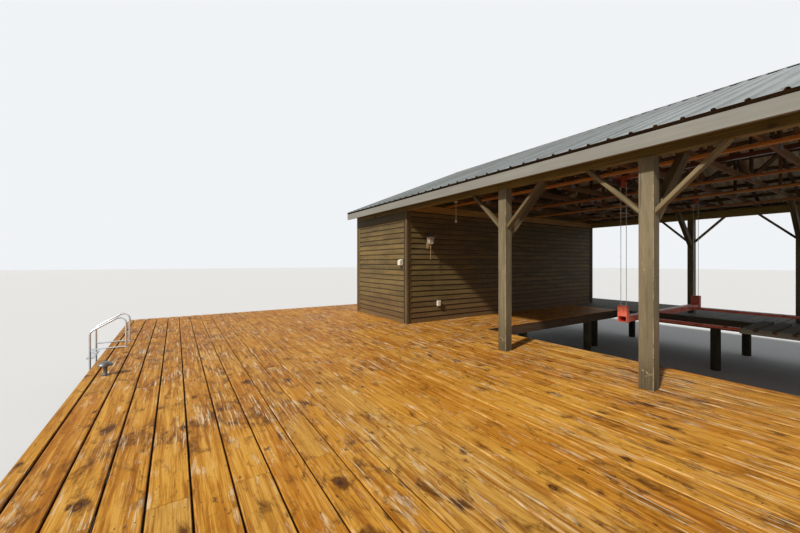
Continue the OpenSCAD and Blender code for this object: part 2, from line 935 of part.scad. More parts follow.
placed() main_deck();
placed() walkway_deck();
placed() right_deck();
placed() dock_side_skirts();
placed() dock_end_skirts();
placed() dock_beams();
placed() dock_joists();
placed() walkway_joists();
placed() dock_piles();
placed() posts();
placed() side_beams();
placed() side_braces();
placed() cross_braces();
placed() truss_bottom_chords();
placed() left_rafters();
placed() right_rafters();
placed() truss_posts();
placed() truss_diagonals();
placed() truss_runners();
placed() roof_purlins();
placed() left_roof_sheet();
placed() right_roof_sheet();
placed() ridge_cap();
placed() eave_fascias();
placed() left_barge_boards();
placed() right_barge_boards();
placed() front_wall();
placed() back_wall();
placed() left_wall();
placed() right_wall();
placed() front_gable();
placed() back_gable();
placed() front_header();
placed() corner_boards();
placed() side_friezes();
placed() hoist_rails();
placed() hoist_sheaves();
placed() lift_cross_beams();
placed() lift_rails();
placed() lift_brackets();
placed() lift_planks();
placed() lift_cables();
placed() wall_lantern();
placed() outlet_box();
placed() pendant_lamp();
placed() swim_ladder();
placed() dock_light();
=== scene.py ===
# Boathouse: an open boat shelter and its store room on timber docks, dressed board by board
import math

import bmesh
import bpy
import numpy as np
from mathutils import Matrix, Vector


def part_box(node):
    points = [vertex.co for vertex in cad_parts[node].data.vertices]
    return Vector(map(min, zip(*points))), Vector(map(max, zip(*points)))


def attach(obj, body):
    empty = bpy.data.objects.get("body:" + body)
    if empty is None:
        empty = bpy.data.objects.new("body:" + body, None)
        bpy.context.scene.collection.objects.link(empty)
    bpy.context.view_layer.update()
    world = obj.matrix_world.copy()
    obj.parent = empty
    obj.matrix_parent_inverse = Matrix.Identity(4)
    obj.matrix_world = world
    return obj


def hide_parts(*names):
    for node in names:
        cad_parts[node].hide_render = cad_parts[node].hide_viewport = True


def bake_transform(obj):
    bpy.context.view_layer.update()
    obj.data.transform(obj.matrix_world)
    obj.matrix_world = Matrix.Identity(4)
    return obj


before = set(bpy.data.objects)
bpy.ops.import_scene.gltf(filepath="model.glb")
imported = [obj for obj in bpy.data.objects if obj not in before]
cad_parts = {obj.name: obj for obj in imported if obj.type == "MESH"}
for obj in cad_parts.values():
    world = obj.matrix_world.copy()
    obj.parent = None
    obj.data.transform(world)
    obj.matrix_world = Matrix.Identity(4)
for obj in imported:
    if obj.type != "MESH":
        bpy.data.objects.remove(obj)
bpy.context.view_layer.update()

# SITE is the building's own origin: under the ridge, at the room's front, on the deck
WALL_LOW, WALL_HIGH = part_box("front_wall")
DECK_LOW, DECK_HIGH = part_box("main_deck")
SITE = Vector(((WALL_LOW.x + WALL_HIGH.x) / 2, WALL_LOW.y, DECK_HIGH.z))
UP = Vector((0, 0, 1))

# Sizes of boards and sheet, in metres
DECK_BOARD = 0.2135
DECK_GAP = 0.018
DECK_ARRIS = 0.004
DECK_LENGTH = 4.88
DECK_SEAM = -4.18
SLIP_EDGE_BOARD = 0.14
SEAM_GAP = 0.004
WALKWAY_GAP = 0.0072
FAR_BOARD = 0.139
FAR_GAP = 0.007
FAR_SECTION_SEAM = -4.62
LAP_EXPOSURE = 0.1245
LAP_BOARD = 0.148
LAP_BUTT = 0.019
LAP_LEAN = 0.022
LAP_CORE = 0.03
LAP_ARRIS = 0.002
LAP_JOINT_SHARE = 0.12
PLY = 0.038
NAIL_PLATE = 0.0012
ROOF_SLOPE = 5 / 12
ROOF_SHEET = 0.0012
RIB_PITCH = 0.229
SHARP = math.radians(25)
LEADING = Vector((1.0, 1.1, -1.3))


def add_object(name, data):
    thing = bpy.data.objects.new(name, data)
    bpy.context.scene.collection.objects.link(thing)
    return thing


# Camera: a wide view from the main deck, level, looking towards the room's left corner
EYE = SITE + Vector((-8.33, -6.65, 1.42))
HEADING = -32.7
LENS = 15.75
SHIFT_Y = -0.0056


def place_camera():
    camera = add_object("camera", bpy.data.cameras.new("camera"))
    camera.location = EYE
    camera.rotation_euler = (math.radians(90), 0, math.radians(HEADING))
    camera.data.lens = LENS
    camera.data.sensor_width = 36
    camera.data.shift_y = SHIFT_Y
    camera.data.clip_start = 0.05
    camera.data.clip_end = 500
    bpy.context.scene.camera = camera


place_camera()


# Node trees


def linear(screen_colour):
    """A screen colour, 0 to 255, as the linear colour that a socket takes."""
    shares = [value / 255 for value in screen_colour]
    return (*(s / 12.92 if s <= 0.04045 else ((s + 0.055) / 1.055) ** 2.4 for s in shares), 1.0)


class Graph:
    """Places and joins the nodes of one material, node group or world."""

    def __init__(self, tree):
        self.tree = tree

    def feed(self, socket, value):
        """Links a socket or sets it. Three numbers for a colour are a screen colour."""
        if isinstance(value, bpy.types.NodeSocket):
            self.tree.links.new(value, socket)
        elif socket.type == "RGBA" and len(value) == 3:
            socket.default_value = linear(value)
        else:
            socket.default_value = value

    def place(self, kind, inputs=(), **settings):
        node = self.tree.nodes.new("ShaderNode" + kind)
        for key, value in settings.items():
            setattr(node, key, value)
        for key, value in dict(inputs).items():
            self.feed(node.inputs[key], value)
        return node

    def math(self, operation, *values):
        return self.place("Math", dict(enumerate(values)), operation=operation).outputs[0]

    def times(self, a, b):
        return self.math("MULTIPLY", a, b)

    def plus(self, base, extra, share):
        """base, with a share of extra added."""
        return self.math("MULTIPLY_ADD", extra, share, base)

    def total(self, first, *others):
        """The sum of pairs of a value and its share."""
        value = self.times(*first)
        for extra, share in others:
            value = self.plus(value, extra, share)
        return value

    def vector(self, operation, a, b):
        return self.place("VectorMath", {0: a, 1: b}, operation=operation).outputs[0]

    def split(self, vector):
        return self.place("SeparateXYZ", {0: vector}).outputs

    def join(self, x, y, z):
        return self.place("CombineXYZ", {0: x, 1: y, 2: z}).outputs[0]

    def scaled(self, vector, size):
        return self.place("VectorMath", {0: vector, "Scale": size}, operation="SCALE").outputs[0]

    def moved(self, vector, lot, *reach):
        """A vector moved along each axis by its share of a board's lot."""
        return self.vector("ADD", vector, self.join(*(self.times(lot, share) for share in reach)))

    def noise(self, vector, scale, detail, rough=0.5, distortion=0.0):
        """Noise at one scale, or at a scale of its own along each axis."""
        if isinstance(scale, tuple):
            vector, scale = self.vector("MULTIPLY", vector, scale), 1.0
        inputs = {"Vector": vector, "Scale": scale, "Detail": detail}
        inputs.update({"Roughness": rough, "Distortion": distortion})
        return self.place("TexNoise", inputs).outputs[0]

    def step(self, value, low, high, to_low=0.0, to_high=1.0):
        """A soft step from to_low to to_high as value goes from low to high."""
        inputs = {0: value, 1: low, 2: high, 3: to_low, 4: to_high}
        return self.place("MapRange", inputs, interpolation_type="SMOOTHSTEP").outputs[0]

    def mix(self, share, a, b):
        return self.place("Mix", {0: share, 6: a, 7: b}, data_type="RGBA").outputs[2]

    def shade(self, under, over, mask, low, high, share=1.0):
        """One colour under a share of another, which comes as the mask goes from low to high."""
        return self.mix(self.step(mask, low, high, 0.0, share), under, over)

    def attribute(self, name):
        return self.place("Attribute", attribute_name=name).outputs

    def group(self, name, **inputs):
        return self.place("Group", inputs, node_tree=bpy.data.node_groups[name]).outputs


def new_group(name, inputs, results, draw):
    """A node group of masks. Its inputs are values, and vectors where they have no default."""
    tree = bpy.data.node_groups.new(name, "ShaderNodeTree")
    for label, default in inputs.items():
        kind = "NodeSocketVector" if default is None else "NodeSocketFloat"
        socket = tree.interface.new_socket(label, in_out="INPUT", socket_type=kind)
        if default is not None:
            socket.default_value = default
    for label in results:
        tree.interface.new_socket(label, in_out="OUTPUT", socket_type="NodeSocketFloat")
    graph = Graph(tree)
    masks = draw(graph, tree.nodes.new("NodeGroupInput").outputs)
    out = tree.nodes.new("NodeGroupOutput").inputs
    for label, mask in zip(results, masks):
        graph.feed(out[label], mask)


def sawn_wood(graph, given):
    """Sawn wood in a board's own coordinates: x along it, y across it, z through it."""
    grain, tone = given["Grain"], given["Tone"]
    own = graph.moved(grain, tone, 61.3, 23.7, 37.1)
    along, across, depth = graph.split(grain)
    # Knots: one cell each, with a size of its own, and none in the cells past the wanted share
    flat = graph.vector("MULTIPLY", own, (0.62, 1.0, 0.15))
    cells = graph.place("TexVoronoi", {"Vector": flat, "Scale": 4.4, "Randomness": 0.95}).outputs
    distance = graph.plus(cells["Distance"], graph.noise(own, 24.0, 3.0, 0.6), 0.1)
    distance = graph.math("SUBTRACT", distance, 0.05)
    lot = graph.split(cells["Color"])
    present = graph.math("LESS_THAN", lot[0], given["Knots"])
    radius = graph.plus(0.045, graph.math("POWER", lot[1], 2.0), 0.08)
    reach = graph.math("DIVIDE", distance, radius)
    knot = graph.times(graph.step(reach, 0.8, 1.25, 1.0, 0.0), present)
    heart = graph.times(graph.step(reach, 0.25, 0.75, 1.0, 0.0), present)
    halo = graph.times(graph.step(reach, 0.8, 3.6, 1.0, 0.0), present)
    # Rings round a heart that wanders beside and under the board, and that bow out round a knot
    wander = graph.noise(own, (0.55, 1.2, 1.2), 2.0)
    side = graph.math("ADD", across, graph.plus(-0.07, tone, 0.14))
    side = graph.plus(graph.math("SUBTRACT", side, 0.06), wander, 0.12)
    under = graph.plus(graph.math("SUBTRACT", depth, 0.02), wander, 0.16)
    centre = graph.join(side, under, 0.0)
    ring = graph.place("VectorMath", {0: centre}, operation="LENGTH").outputs["Value"]
    ring = graph.times(graph.plus(ring, halo, 0.014), given["Rings"])
    ring_place = graph.join(ring, graph.times(along, 0.9), graph.times(tone, 50.0))
    rings = graph.noise(ring_place, 1.0, 3.0, 0.6)
    fibre = graph.noise(own, (3.5, 150, 150), 2.0, 0.6)
    patches = graph.noise(own, (1.1, 7, 7), 3.0, 0.6)
    relief = graph.total((rings, 0.65), (fibre, 0.35), (knot, 0.25))
    return rings, fibre, knot, heart, halo, patches, relief


def weather_marks(graph, given):
    """Dirt and damp that run over neighbouring pieces, in the building's own coordinates."""
    place = graph.scaled(given["Place"], given["Size"])
    blotches = graph.noise(place, 1.3, 4.0, 0.62, 0.3)
    return blotches, graph.noise(place, (9, 9, 0.7), 3.0, 0.6), graph.noise(place, 60.0, 2.0, 0.7)


def paint_chips(graph, given):
    """Where a coat of paint or stain is gone: on worn edges first, then in patches of the faces."""
    place = graph.scaled(given["Place"], given["Size"])
    fine, coarse = graph.noise(place, 38.0, 4.0, 0.68), graph.noise(place, 5.0, 3.0, 0.6)
    level = graph.total((fine, 0.45), (coarse, 0.55), (given["Edge"], 0.13), (given["Wear"], 0.25))
    bare = graph.step(level, 0.74, 0.77)
    return bare, graph.step(level, 0.5, 0.78), graph.math("SUBTRACT", 1.0, bare)


WOOD_INPUTS = {"Grain": None, "Tone": 0.5, "Rings": 90.0, "Knots": 0.5}
WOOD_MASKS = ("Rings", "Fibre", "Knot", "Heart", "Halo", "Patches", "Height")
CHIPS_INPUTS = {"Place": None, "Edge": 0.0, "Wear": 0.5, "Size": 1.0}
new_group("Sawn wood", WOOD_INPUTS, WOOD_MASKS, sawn_wood)
new_group("Weather", {"Place": None, "Size": 1.0}, ("Blotches", "Runs", "Speckle"), weather_marks)
new_group("Chips", CHIPS_INPUTS, ("Bare", "Faded", "Height"), paint_chips)


# Materials


class Finish(Graph):
    """The graph of one material, painted coat by coat over a base colour."""

    def __init__(self, name, base, rough, metal=0.0, specular=0.5, weather=1.0):
        self.material = bpy.data.materials.new(name)
        self.material.use_nodes = True
        super().__init__(self.material.node_tree)
        self.colour = base
        self.shader = self.tree.nodes["Principled BSDF"].inputs
        self.shader["Roughness"].default_value = rough
        self.shader["Metallic"].default_value = metal
        self.shader["Specular IOR Level"].default_value = specular
        self.spot = self.place("TexCoord").outputs["Object"]
        self.x, self.y, self.z = self.split(self.spot)
        if weather:
            self.blotches, self.runs, self.speckle = self.group("Weather", Place=self.spot, Size=weather)

    def wood(self, rings, knots):
        """The masks of sawn wood, from the grain, tone and edges that each board carries."""
        self.tone, self.edge = self.attribute("tone")["Fac"], self.attribute("edge")["Fac"]
        self.grain = self.attribute("grain")["Vector"]
        masks = self.group("Sawn wood", Grain=self.grain, Tone=self.tone, Rings=rings, Knots=knots)
        self.rings, self.fibre, self.knot, self.heart, self.halo, self.patches, self.relief = masks

    def own_place(self):
        """The grain coordinates, moved to a place of its own for each board."""
        return self.moved(self.grain, self.tone, 47.0, 13.0, 0.0)

    def chips(self, spot, edge, wear, size=1.0):
        return self.group("Chips", Place=spot, Edge=edge, Wear=wear, Size=size)

    def lay(self, over, mask):
        """Another colour, where the mask is."""
        self.colour = self.mix(mask, self.colour, over)

    def coat(self, over, mask, low, high, share=1.0):
        """A share of another colour, which comes as the mask goes from low to high."""
        self.colour = self.shade(self.colour, over, mask, low, high, share)

    def tint(self, over, mask, share):
        """A share of another colour, in step with the mask."""
        self.lay(over, self.times(mask, share))

    def finish(self, relief, strength, distance, rough=None):
        """Feeds the shader and gives the finished material."""
        self.feed(self.shader["Base Color"], self.colour)
        if rough:
            self.feed(self.shader["Roughness"], rough)
        bump = self.place("Bump", {"Strength": strength, "Distance": distance, "Height": relief})
        self.feed(self.shader["Normal"], bump.outputs[0])
        return self.material


def stained_wood(name, dark, light, knot, rings=90.0, knots=0.5, spread=0.35, rough=0.7, relief=0.0015):
    """Sawn timber under a thin stain, each board a little lighter or darker than the next."""
    paint = Finish(name, dark, rough, specular=0.3)
    paint.wood(rings, knots)
    parts = ((paint.patches, 0.6), (paint.rings, 0.9), (paint.fibre, 0.35), (paint.tone, spread))
    paint.coat(light, paint.total(*parts), 0.62 + spread / 2, 1.28 + spread / 2)
    paint.coat(dark, paint.blotches, 0.5, 0.72, 0.45)
    paint.tint(light, paint.edge, 0.35)
    paint.tint(knot, paint.halo, 0.35)
    paint.tint(knot, paint.knot, 0.85)
    gloss = paint.step(paint.speckle, 0.3, 0.7, rough - 0.08, rough + 0.1)
    return paint.finish(paint.relief, 0.6, relief, gloss)


def deck_stain():
    """Golden-brown deck stain: dark about the knots, streaked along the grain, walked pale in places."""
    paint = Finish("deck_boards", DECK_ORANGE, 0.65, specular=0.12, weather=0.7)
    paint.wood(62.0, 0.85)
    own = paint.own_place()
    # Golden boards, deeper orange ones and a few duller tan ones
    paint.lay(DECK_GOLD, paint.tone)
    paint.coat(DECK_TAN, paint.math("FRACT", paint.times(paint.tone, 7.3)), 0.55, 0.9, 0.6)
    # Deeper towards the shore, the change ragged with the blotches
    shore = paint.plus(paint.y, paint.blotches, 3.0)
    paint.coat(DECK_DEEP, shore, SITE.y - 3.5, SITE.y + 1.5, 0.75)
    # Growth rings and fibre
    light = paint.total((paint.fibre, 0.4), (paint.rings, 0.6))
    paint.coat(DECK_LIGHT, light, 0.46, 0.62, 0.55)
    paint.coat(DECK_STREAK, light, 0.5, 0.4, 0.45)
    # Stain that pooled in long streaks, more of it where the blotches are
    streaks = paint.plus(paint.noise(own, (1.5, 22, 4), 4.0, 0.66), paint.blotches, 0.4)
    paint.coat(DECK_STREAK, streaks, 0.67, 0.85, 0.85)
    # Dark mottles, mostly about the knots
    mottles = paint.plus(paint.noise(own, (4.0, 9.0, 4), 4.0, 0.72, 0.6), paint.blotches, 0.4)
    paint.coat(DECK_MOTTLE, paint.plus(mottles, paint.halo, 0.2), 0.68, 0.94)
    paint.coat(DECK_KNOT_AND_GAP_SHADE, paint.noise(own, (9.0, 19.0, 8), 3.0, 0.65, 0.4), 0.64, 0.7, 0.7)
    paint.tint(DECK_KNOT_AND_GAP_SHADE, paint.knot, 0.85)
    paint.tint(DECK_STREAK, paint.heart, 0.6)
    # Stain walked off: pale lines that follow the grain inside larger patches, and smudges
    patch = paint.step(paint.total((paint.patches, 0.5), (paint.blotches, 0.5)), 0.48, 0.58)
    scrape = paint.step(paint.noise(own, (1.8, 42, 8), 4.0, 0.75), 0.53, 0.63)
    smudge = paint.step(paint.noise(own, (2.2, 9, 4), 4.0, 0.75), 0.58, 0.68)
    smudge = paint.times(smudge, paint.step(paint.fibre, 0.35, 0.6, 0.3, 1.0))
    worn = paint.math("MAXIMUM", paint.times(scrape, patch), paint.times(smudge, 0.8))
    paint.tint(DECK_WORN, worn, 0.8)
    # The arrises: pale in patches, wear where feet catch them and a painted highlight along the chamfers;
    # painted shade down the boards' sides in the gap
    rubbed = paint.shade(DECK_MOTTLE, DECK_RUBBED_AND_HIGHLIGHT, paint.noise(own, 3.5, 3.0, 0.7), 0.46, 0.6)
    paint.tint(rubbed, paint.edge, 0.6)
    # Painted shade down the boards' sides, in the gap between them
    paint.coat(DECK_KNOT_AND_GAP_SHADE, paint.split(paint.grain)[2], 0.015, -0.004, 0.95)
    return paint.finish(paint.relief, 0.7, 0.003, paint.step(worn, 0.0, 1.0, 0.6, 0.85))


def lap_siding():
    """Dark brown stain over lap boards, rained on below and dusty above."""
    paint = Finish("siding", SIDING_DARK, 0.7, specular=0.3)
    paint.wood(60.0, 0.22)
    share = paint.total((paint.fibre, 0.5), (paint.patches, 0.8), (paint.tone, 0.16))
    paint.coat(SIDING_LIGHT, share, 0.5, 0.95)
    # Redder wood showing through in streaks, and grey-green dust in others
    paint.coat(SIDING_RED, paint.noise(paint.own_place(), (0.9, 12, 6), 4.0, 0.65), 0.52, 0.7, 0.55)
    paint.coat(SIDING_DUST, paint.noise(paint.spot, (1.6, 1.6, 3.4), 4.0, 0.7), 0.5, 0.72, 0.5)
    # Redder near the deck: painted bounce light, the warm light thrown up from the deck
    height = paint.plus(paint.z, paint.blotches, 0.9)
    paint.coat(SIDING_RED, height, SITE.z + 1.25, SITE.z + 0.55, 0.55)
    paint.coat(SIDING_DARK, paint.runs, 0.5, 0.75, 0.4)
    paint.tint(SIDING_KNOT_AND_SHADE, paint.knot, 0.5)
    # Painted shade up under the next board's butt, a dark band at the top of each board's face
    paint.coat(SIDING_KNOT_AND_SHADE, paint.split(paint.grain)[1], 0.014, 0.042, 0.9)
    paint.tint(SIDING_DUST, paint.edge, 0.3)
    return paint.finish(paint.relief, 0.5, 0.0012)


def post_paint():
    """Taupe solid stain on planed posts, with drying checks, and scuffs at the arrises and low down."""
    paint = Finish("post_timber", POST_DARK, 0.6, specular=0.35)
    paint.wood(55.0, 0.25)
    own = paint.own_place()
    paint.coat(POST_LIGHT, paint.total((paint.fibre, 0.3), (paint.patches, 0.7)), 0.42, 0.66)
    paint.coat(POST_DAMP, paint.runs, 0.5, 0.72, 0.5)
    smears = paint.noise(own, (1.3, 16, 16), 4.0, 0.7)
    paint.coat(POST_BARE, smears, 0.58, 0.72, 0.5)
    paint.coat(POST_DAMP, smears, 0.44, 0.34, 0.55)
    rubbed = paint.step(paint.noise(own, 7.0, 3.0, 0.7), 0.44, 0.6, 0.0, 0.8)
    paint.tint(POST_BARE, paint.edge, rubbed)
    # Drying checks, long and dark
    checks = paint.step(paint.noise(own, (1.1, 36, 36), 1.0), 0.7, 0.74, 0.0, 0.6)
    paint.lay(POST_KNOT, checks)
    # The foot is splashed and scuffed
    height = paint.plus(paint.z, paint.blotches, 0.6)
    foot = paint.step(height, SITE.z + 0.8, SITE.z + 0.3, 0.0, 0.8)
    paint.tint(POST_DAMP, foot, 0.7)
    paint.tint(POST_KNOT, foot, paint.step(paint.fibre, 0.4, 0.6))
    paint.tint(POST_BARE, paint.chips(paint.grain, paint.edge, 0.4)["Bare"], 0.75)
    paint.tint(POST_KNOT, paint.knot, 0.3)
    return paint.finish(paint.math("SUBTRACT", paint.relief, checks), 0.5, 0.0015)


def roof_steel():
    """Weathered painted sheet above, dull cream primer below, in panels four ribs wide."""
    paint = Finish("roof_steel", PRIMER_LIGHT, 0.45, specular=0.4, weather=0.5)
    streaks = paint.noise(paint.spot, (0.6, 14, 0.6), 3.0, 0.6)
    paint.coat(PRIMER_DULL, streaks, 0.35, 0.7)
    # Painted shade on the sheet's underside past the fascia's face, where it overhangs the eave
    reach = paint.math("ABSOLUTE", paint.math("SUBTRACT", paint.x, SITE.x))
    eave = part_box("eave_fascias")[1].x - SITE.x
    paint.coat(ROOF_EAVE_SHADE, reach, eave - 0.004, eave + 0.003)
    # The upper face, where the normal points up
    panel = paint.math("FLOOR", paint.math("DIVIDE", paint.y, 4 * RIB_PITCH))
    shade = paint.place("TexWhiteNoise", {"W": panel}, noise_dimensions="1D").outputs[0]
    share = paint.total((shade, 0.18), (streaks, 0.8), (paint.blotches, 0.5))
    top = paint.shade(ROOF_LIGHT, ROOF_DULL, share, 0.5, 0.95)
    top = paint.shade(top, ROOF_SPECK, paint.speckle, 0.66, 0.72, 0.5)
    normal = paint.split(paint.place("NewGeometry").outputs["Normal"])
    paint.lay(top, paint.math("GREATER_THAN", normal[2], 0.0))
    return paint.finish(paint.blotches, 0.15, 0.004, paint.step(share, 0.4, 1.0, 0.4, 0.62))


def lift_paint(name, deep, bright, wear=0.6, bare_past=None):
    """Red gloss on steel, bleached in the sun, chipped to rust at the edges.

    With bare_past, the red ends that far along the shelter from the nearer pair of sheaves.
    """
    paint = Finish(name, deep, 0.45, specular=0.4, weather=3.0)
    chips = paint.chips(paint.spot, paint.attribute("edge")["Fac"], wear)
    paint.coat(bright, paint.blotches, 0.35, 0.65)
    paint.tint(LIFT_BLEACHED, chips["Faded"], 0.3)
    paint.coat(LIFT_GRIME, paint.runs, 0.56, 0.75, 0.6)
    paint.lay(paint.shade(RUST_DARK, RUST_LIGHT, paint.speckle, 0.35, 0.65), chips["Bare"])
    if bare_past:
        low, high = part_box("hoist_sheaves")
        along = paint.math("ABSOLUTE", paint.math("SUBTRACT", paint.y, (low.y + high.y) / 2))
        inward = paint.math("SUBTRACT", (high.y - low.y) / 2, along)
        ragged = paint.plus(inward, paint.speckle, 0.06)
        paint.coat(RUST_DARK, ragged, bare_past, bare_past + 0.04, 0.92)
    return paint.finish(chips["Height"], 0.4, 0.001, paint.step(chips["Bare"], 0.0, 1.0, 0.42, 0.85))


def bare_metal(name, base, dull, rough, size=1.0):
    """Bare metal, dulled in patches and finely scratched."""
    paint = Finish(name, base, rough, metal=1.0, weather=size)
    paint.coat(dull, paint.blotches, 0.4, 0.7)
    paint.coat(dull, paint.speckle, 0.6, 0.75, 0.4)
    gloss = paint.step(paint.blotches, 0.35, 0.7, rough - 0.08, rough + 0.18)
    return paint.finish(paint.speckle, 0.12, 0.0005, gloss)


def painted(name, base, worn, rough, size):
    """A smooth coat of paint or plastic with small knocks and grime."""
    paint = Finish(name, base, rough, weather=size)
    paint.coat(worn, paint.blotches, 0.45, 0.75, 0.5)
    paint.lay(worn, paint.chips(paint.spot, 0.0, 0.3, size)["Bare"])
    gloss = paint.step(paint.speckle, 0.3, 0.7, rough - 0.06, rough + 0.12)
    return paint.finish(paint.speckle, 0.08, 0.0005, gloss)


def clouded_glass():
    """Pale lantern glass, dusty and a little see-through."""
    paint = Finish("lantern_glass", (206, 204, 190), 0.35, weather=12.0)
    paint.shader["Transmission Weight"].default_value = 0.25
    paint.coat((150, 144, 126), paint.blotches, 0.4, 0.65)
    gloss = paint.step(paint.blotches, 0.35, 0.65, 0.3, 0.5)
    return paint.finish(paint.speckle, 0.1, 0.0005, gloss)


# Stain and paint colours, as screen colours
DECK_GOLD = (214, 154, 56)
DECK_ORANGE = (190, 122, 32)
DECK_DEEP = (170, 108, 34)
DECK_TAN = (194, 150, 76)
DECK_LIGHT = (234, 184, 92)
DECK_STREAK = (150, 88, 18)
DECK_MOTTLE = (98, 58, 18)
# Knots and dark spots, and painted shade down in the deck's gaps
DECK_KNOT_AND_GAP_SHADE = (56, 30, 12)
DECK_WORN = (240, 218, 180)
# Pale arrises: wear, and a painted highlight along the chamfers
DECK_RUBBED_AND_HIGHLIGHT = (196, 160, 112)
SIDING_LIGHT = (124, 102, 58)
SIDING_DARK = (80, 66, 38)
# Redder wood, and painted bounce light low on the walls
SIDING_RED = (100, 70, 42)
SIDING_DUST = (116, 104, 72)
# Knots, and painted shade up under each lap
SIDING_KNOT_AND_SHADE = (44, 32, 20)
POST_LIGHT = (132, 119, 92)
POST_DARK = (110, 99, 74)
POST_DAMP = (88, 80, 58)
POST_BARE = (172, 152, 114)
POST_KNOT = (60, 50, 34)
ROOF_LIGHT = (134, 140, 140)
ROOF_DULL = (114, 117, 114)
ROOF_SPECK = (84, 78, 68)
# Painted shade under the roof sheet's overhang
ROOF_EAVE_SHADE = (34, 28, 30)
PRIMER_LIGHT = (232, 226, 204)
PRIMER_DULL = (178, 170, 142)
LIFT_BLEACHED = (232, 150, 122)
LIFT_GRIME = (128, 56, 40)
RUST_DARK = (70, 40, 28)
RUST_LIGHT = (126, 72, 44)

DECK = deck_stain()
SIDING = lap_siding()
POST = post_paint()
ROOF = roof_steel()
LIFT = lift_paint("lift_red", (204, 76, 52), (226, 100, 74))
# The hoist's paint: the lift's red made darker, painted shade for its place up under the roof
SHADED_HOIST = lift_paint("hoist_red_shaded", (108, 38, 28), (142, 52, 38), 0.66, 0.42)

# Stained wood: the name, the dark and light tones, and the knots
FAR_DECK = stained_wood(
    "far_deck_boards", (52, 53, 46), (88, 88, 78), (36, 32, 26), spread=0.3, rough=0.8)
DOCK_FRAME = stained_wood(
    "dock_timber", (72, 52, 34), (112, 86, 58), (44, 32, 22), spread=0.4, rough=0.85)
PILE = stained_wood(
    "piles", (50, 46, 36), (92, 84, 66), (36, 30, 22), spread=0.3, rough=0.85)
BRACE = stained_wood(
    "brace_timber", (76, 64, 40), (142, 126, 92), (52, 40, 24), 70, spread=0.2, relief=0.003)
BEAM = stained_wood(
    "beam_timber", (100, 86, 42), (150, 130, 72), (66, 50, 24), 60, spread=0.3)
TRUSS = stained_wood(
    "truss_timber", (66, 46, 30), (128, 94, 60), (42, 28, 18), spread=0.45, rough=0.8)
# Truss runners: the truss timber made lighter and orange, painted light thrown up from the sunlit deck
LIT_RUNNER = stained_wood(
    "runner_timber_lit", (140, 88, 38), (196, 136, 66), (84, 50, 22), spread=0.3)
PURLIN = stained_wood(
    "purlin_timber", (58, 44, 32), (112, 88, 62), (40, 30, 20), spread=0.5, rough=0.8)
FASCIA = stained_wood(
    "fascia_boards", (130, 128, 118), (144, 142, 132), (120, 116, 106), 50, 0.1, 0.1, 0.6, 0.0006)
TRIM = stained_wood(
    "trim_boards", (92, 74, 48), (130, 108, 74), (66, 50, 32), 60, spread=0.3)
# Friezes: darker than the trim, painted shade for the eave's shadow
SHADED_FRIEZE = stained_wood(
    "frieze_boards_shaded", (62, 54, 32), (86, 76, 48), (46, 38, 24), 60, spread=0.3)
# Header: lighter and more orange than the trim, painted light thrown up from the sunlit deck
LIT_HEADER = stained_wood(
    "header_board_lit", (132, 96, 46), (184, 140, 74), (84, 56, 26), 60, spread=0.3)
# Lift planks: made paler, painted sunlight that the eave keeps off them
SUNLIT_PLANK = stained_wood(
    "plank_wood", (214, 176, 128), (244, 212, 168), (150, 108, 70), spread=0.3, rough=0.75)
BUNK = stained_wood(
    "bunk_wood", (54, 48, 40), (86, 78, 64), (36, 30, 24), spread=0.3, rough=0.85)
CLEAT = stained_wood(
    "cleat_wood", (176, 136, 112), (212, 176, 148), (130, 92, 66), spread=0.2, rough=0.8)

# Metal and paint: the name, the clean and worn colours, the roughness and the size of the marks
GALVANISED = bare_metal("galvanised_steel", (132, 132, 128), (92, 90, 84), 0.5)
ROOF_SCREW = bare_metal("roof_screws", (128, 128, 124), (88, 84, 78), 0.5)
DECK_SCREW = bare_metal("deck_screws", (120, 104, 80), (78, 62, 44), 0.55)
CABLE = bare_metal("cable_steel", (192, 192, 186), (140, 138, 130), 0.4, 4)
LADDER = bare_metal("ladder_metal", (214, 216, 218), (176, 178, 178), 0.3)
LIGHT_METAL = bare_metal("light_metal", (122, 120, 114), (88, 86, 82), 0.5, 6)
LANTERN = painted("lantern_metal", (168, 142, 106), (104, 84, 62), 0.42, 8)
LANTERN_CAP = painted("lantern_cap", (96, 96, 104), (60, 58, 60), 0.4, 8)
GLASS = clouded_glass()
OUTLET = painted("outlet_plastic", (224, 218, 198), (190, 182, 160), 0.5, 6)
SOCKET = painted("outlet_slots", (70, 64, 54), (44, 40, 34), 0.6, 6)
LAMP = painted("lamp_white", (232, 232, 226), (206, 204, 194), 0.25, 6)


# Meshes


def spokes(axis, side, sides):
    """Unit directions round an axis, the first of them along side."""
    other = axis.cross(side)
    turns = [2 * math.pi * i / sides for i in range(sides)]
    return [side * math.cos(turn) + other * math.sin(turn) for turn in turns]


def tube_faces(rings, sides):
    """The faces of a closed tube of rings of points: round its sides, then its foot and its head."""
    faces = []
    for base in range(0, (rings - 1) * sides, sides):
        for i in range(sides):
            a, b = base + i, base + (i + 1) % sides
            faces.append([a, b, b + sides, a + sides])
    last = (rings - 1) * sides
    return faces + [list(range(sides - 1, -1, -1)), list(range(last, last + sides))]


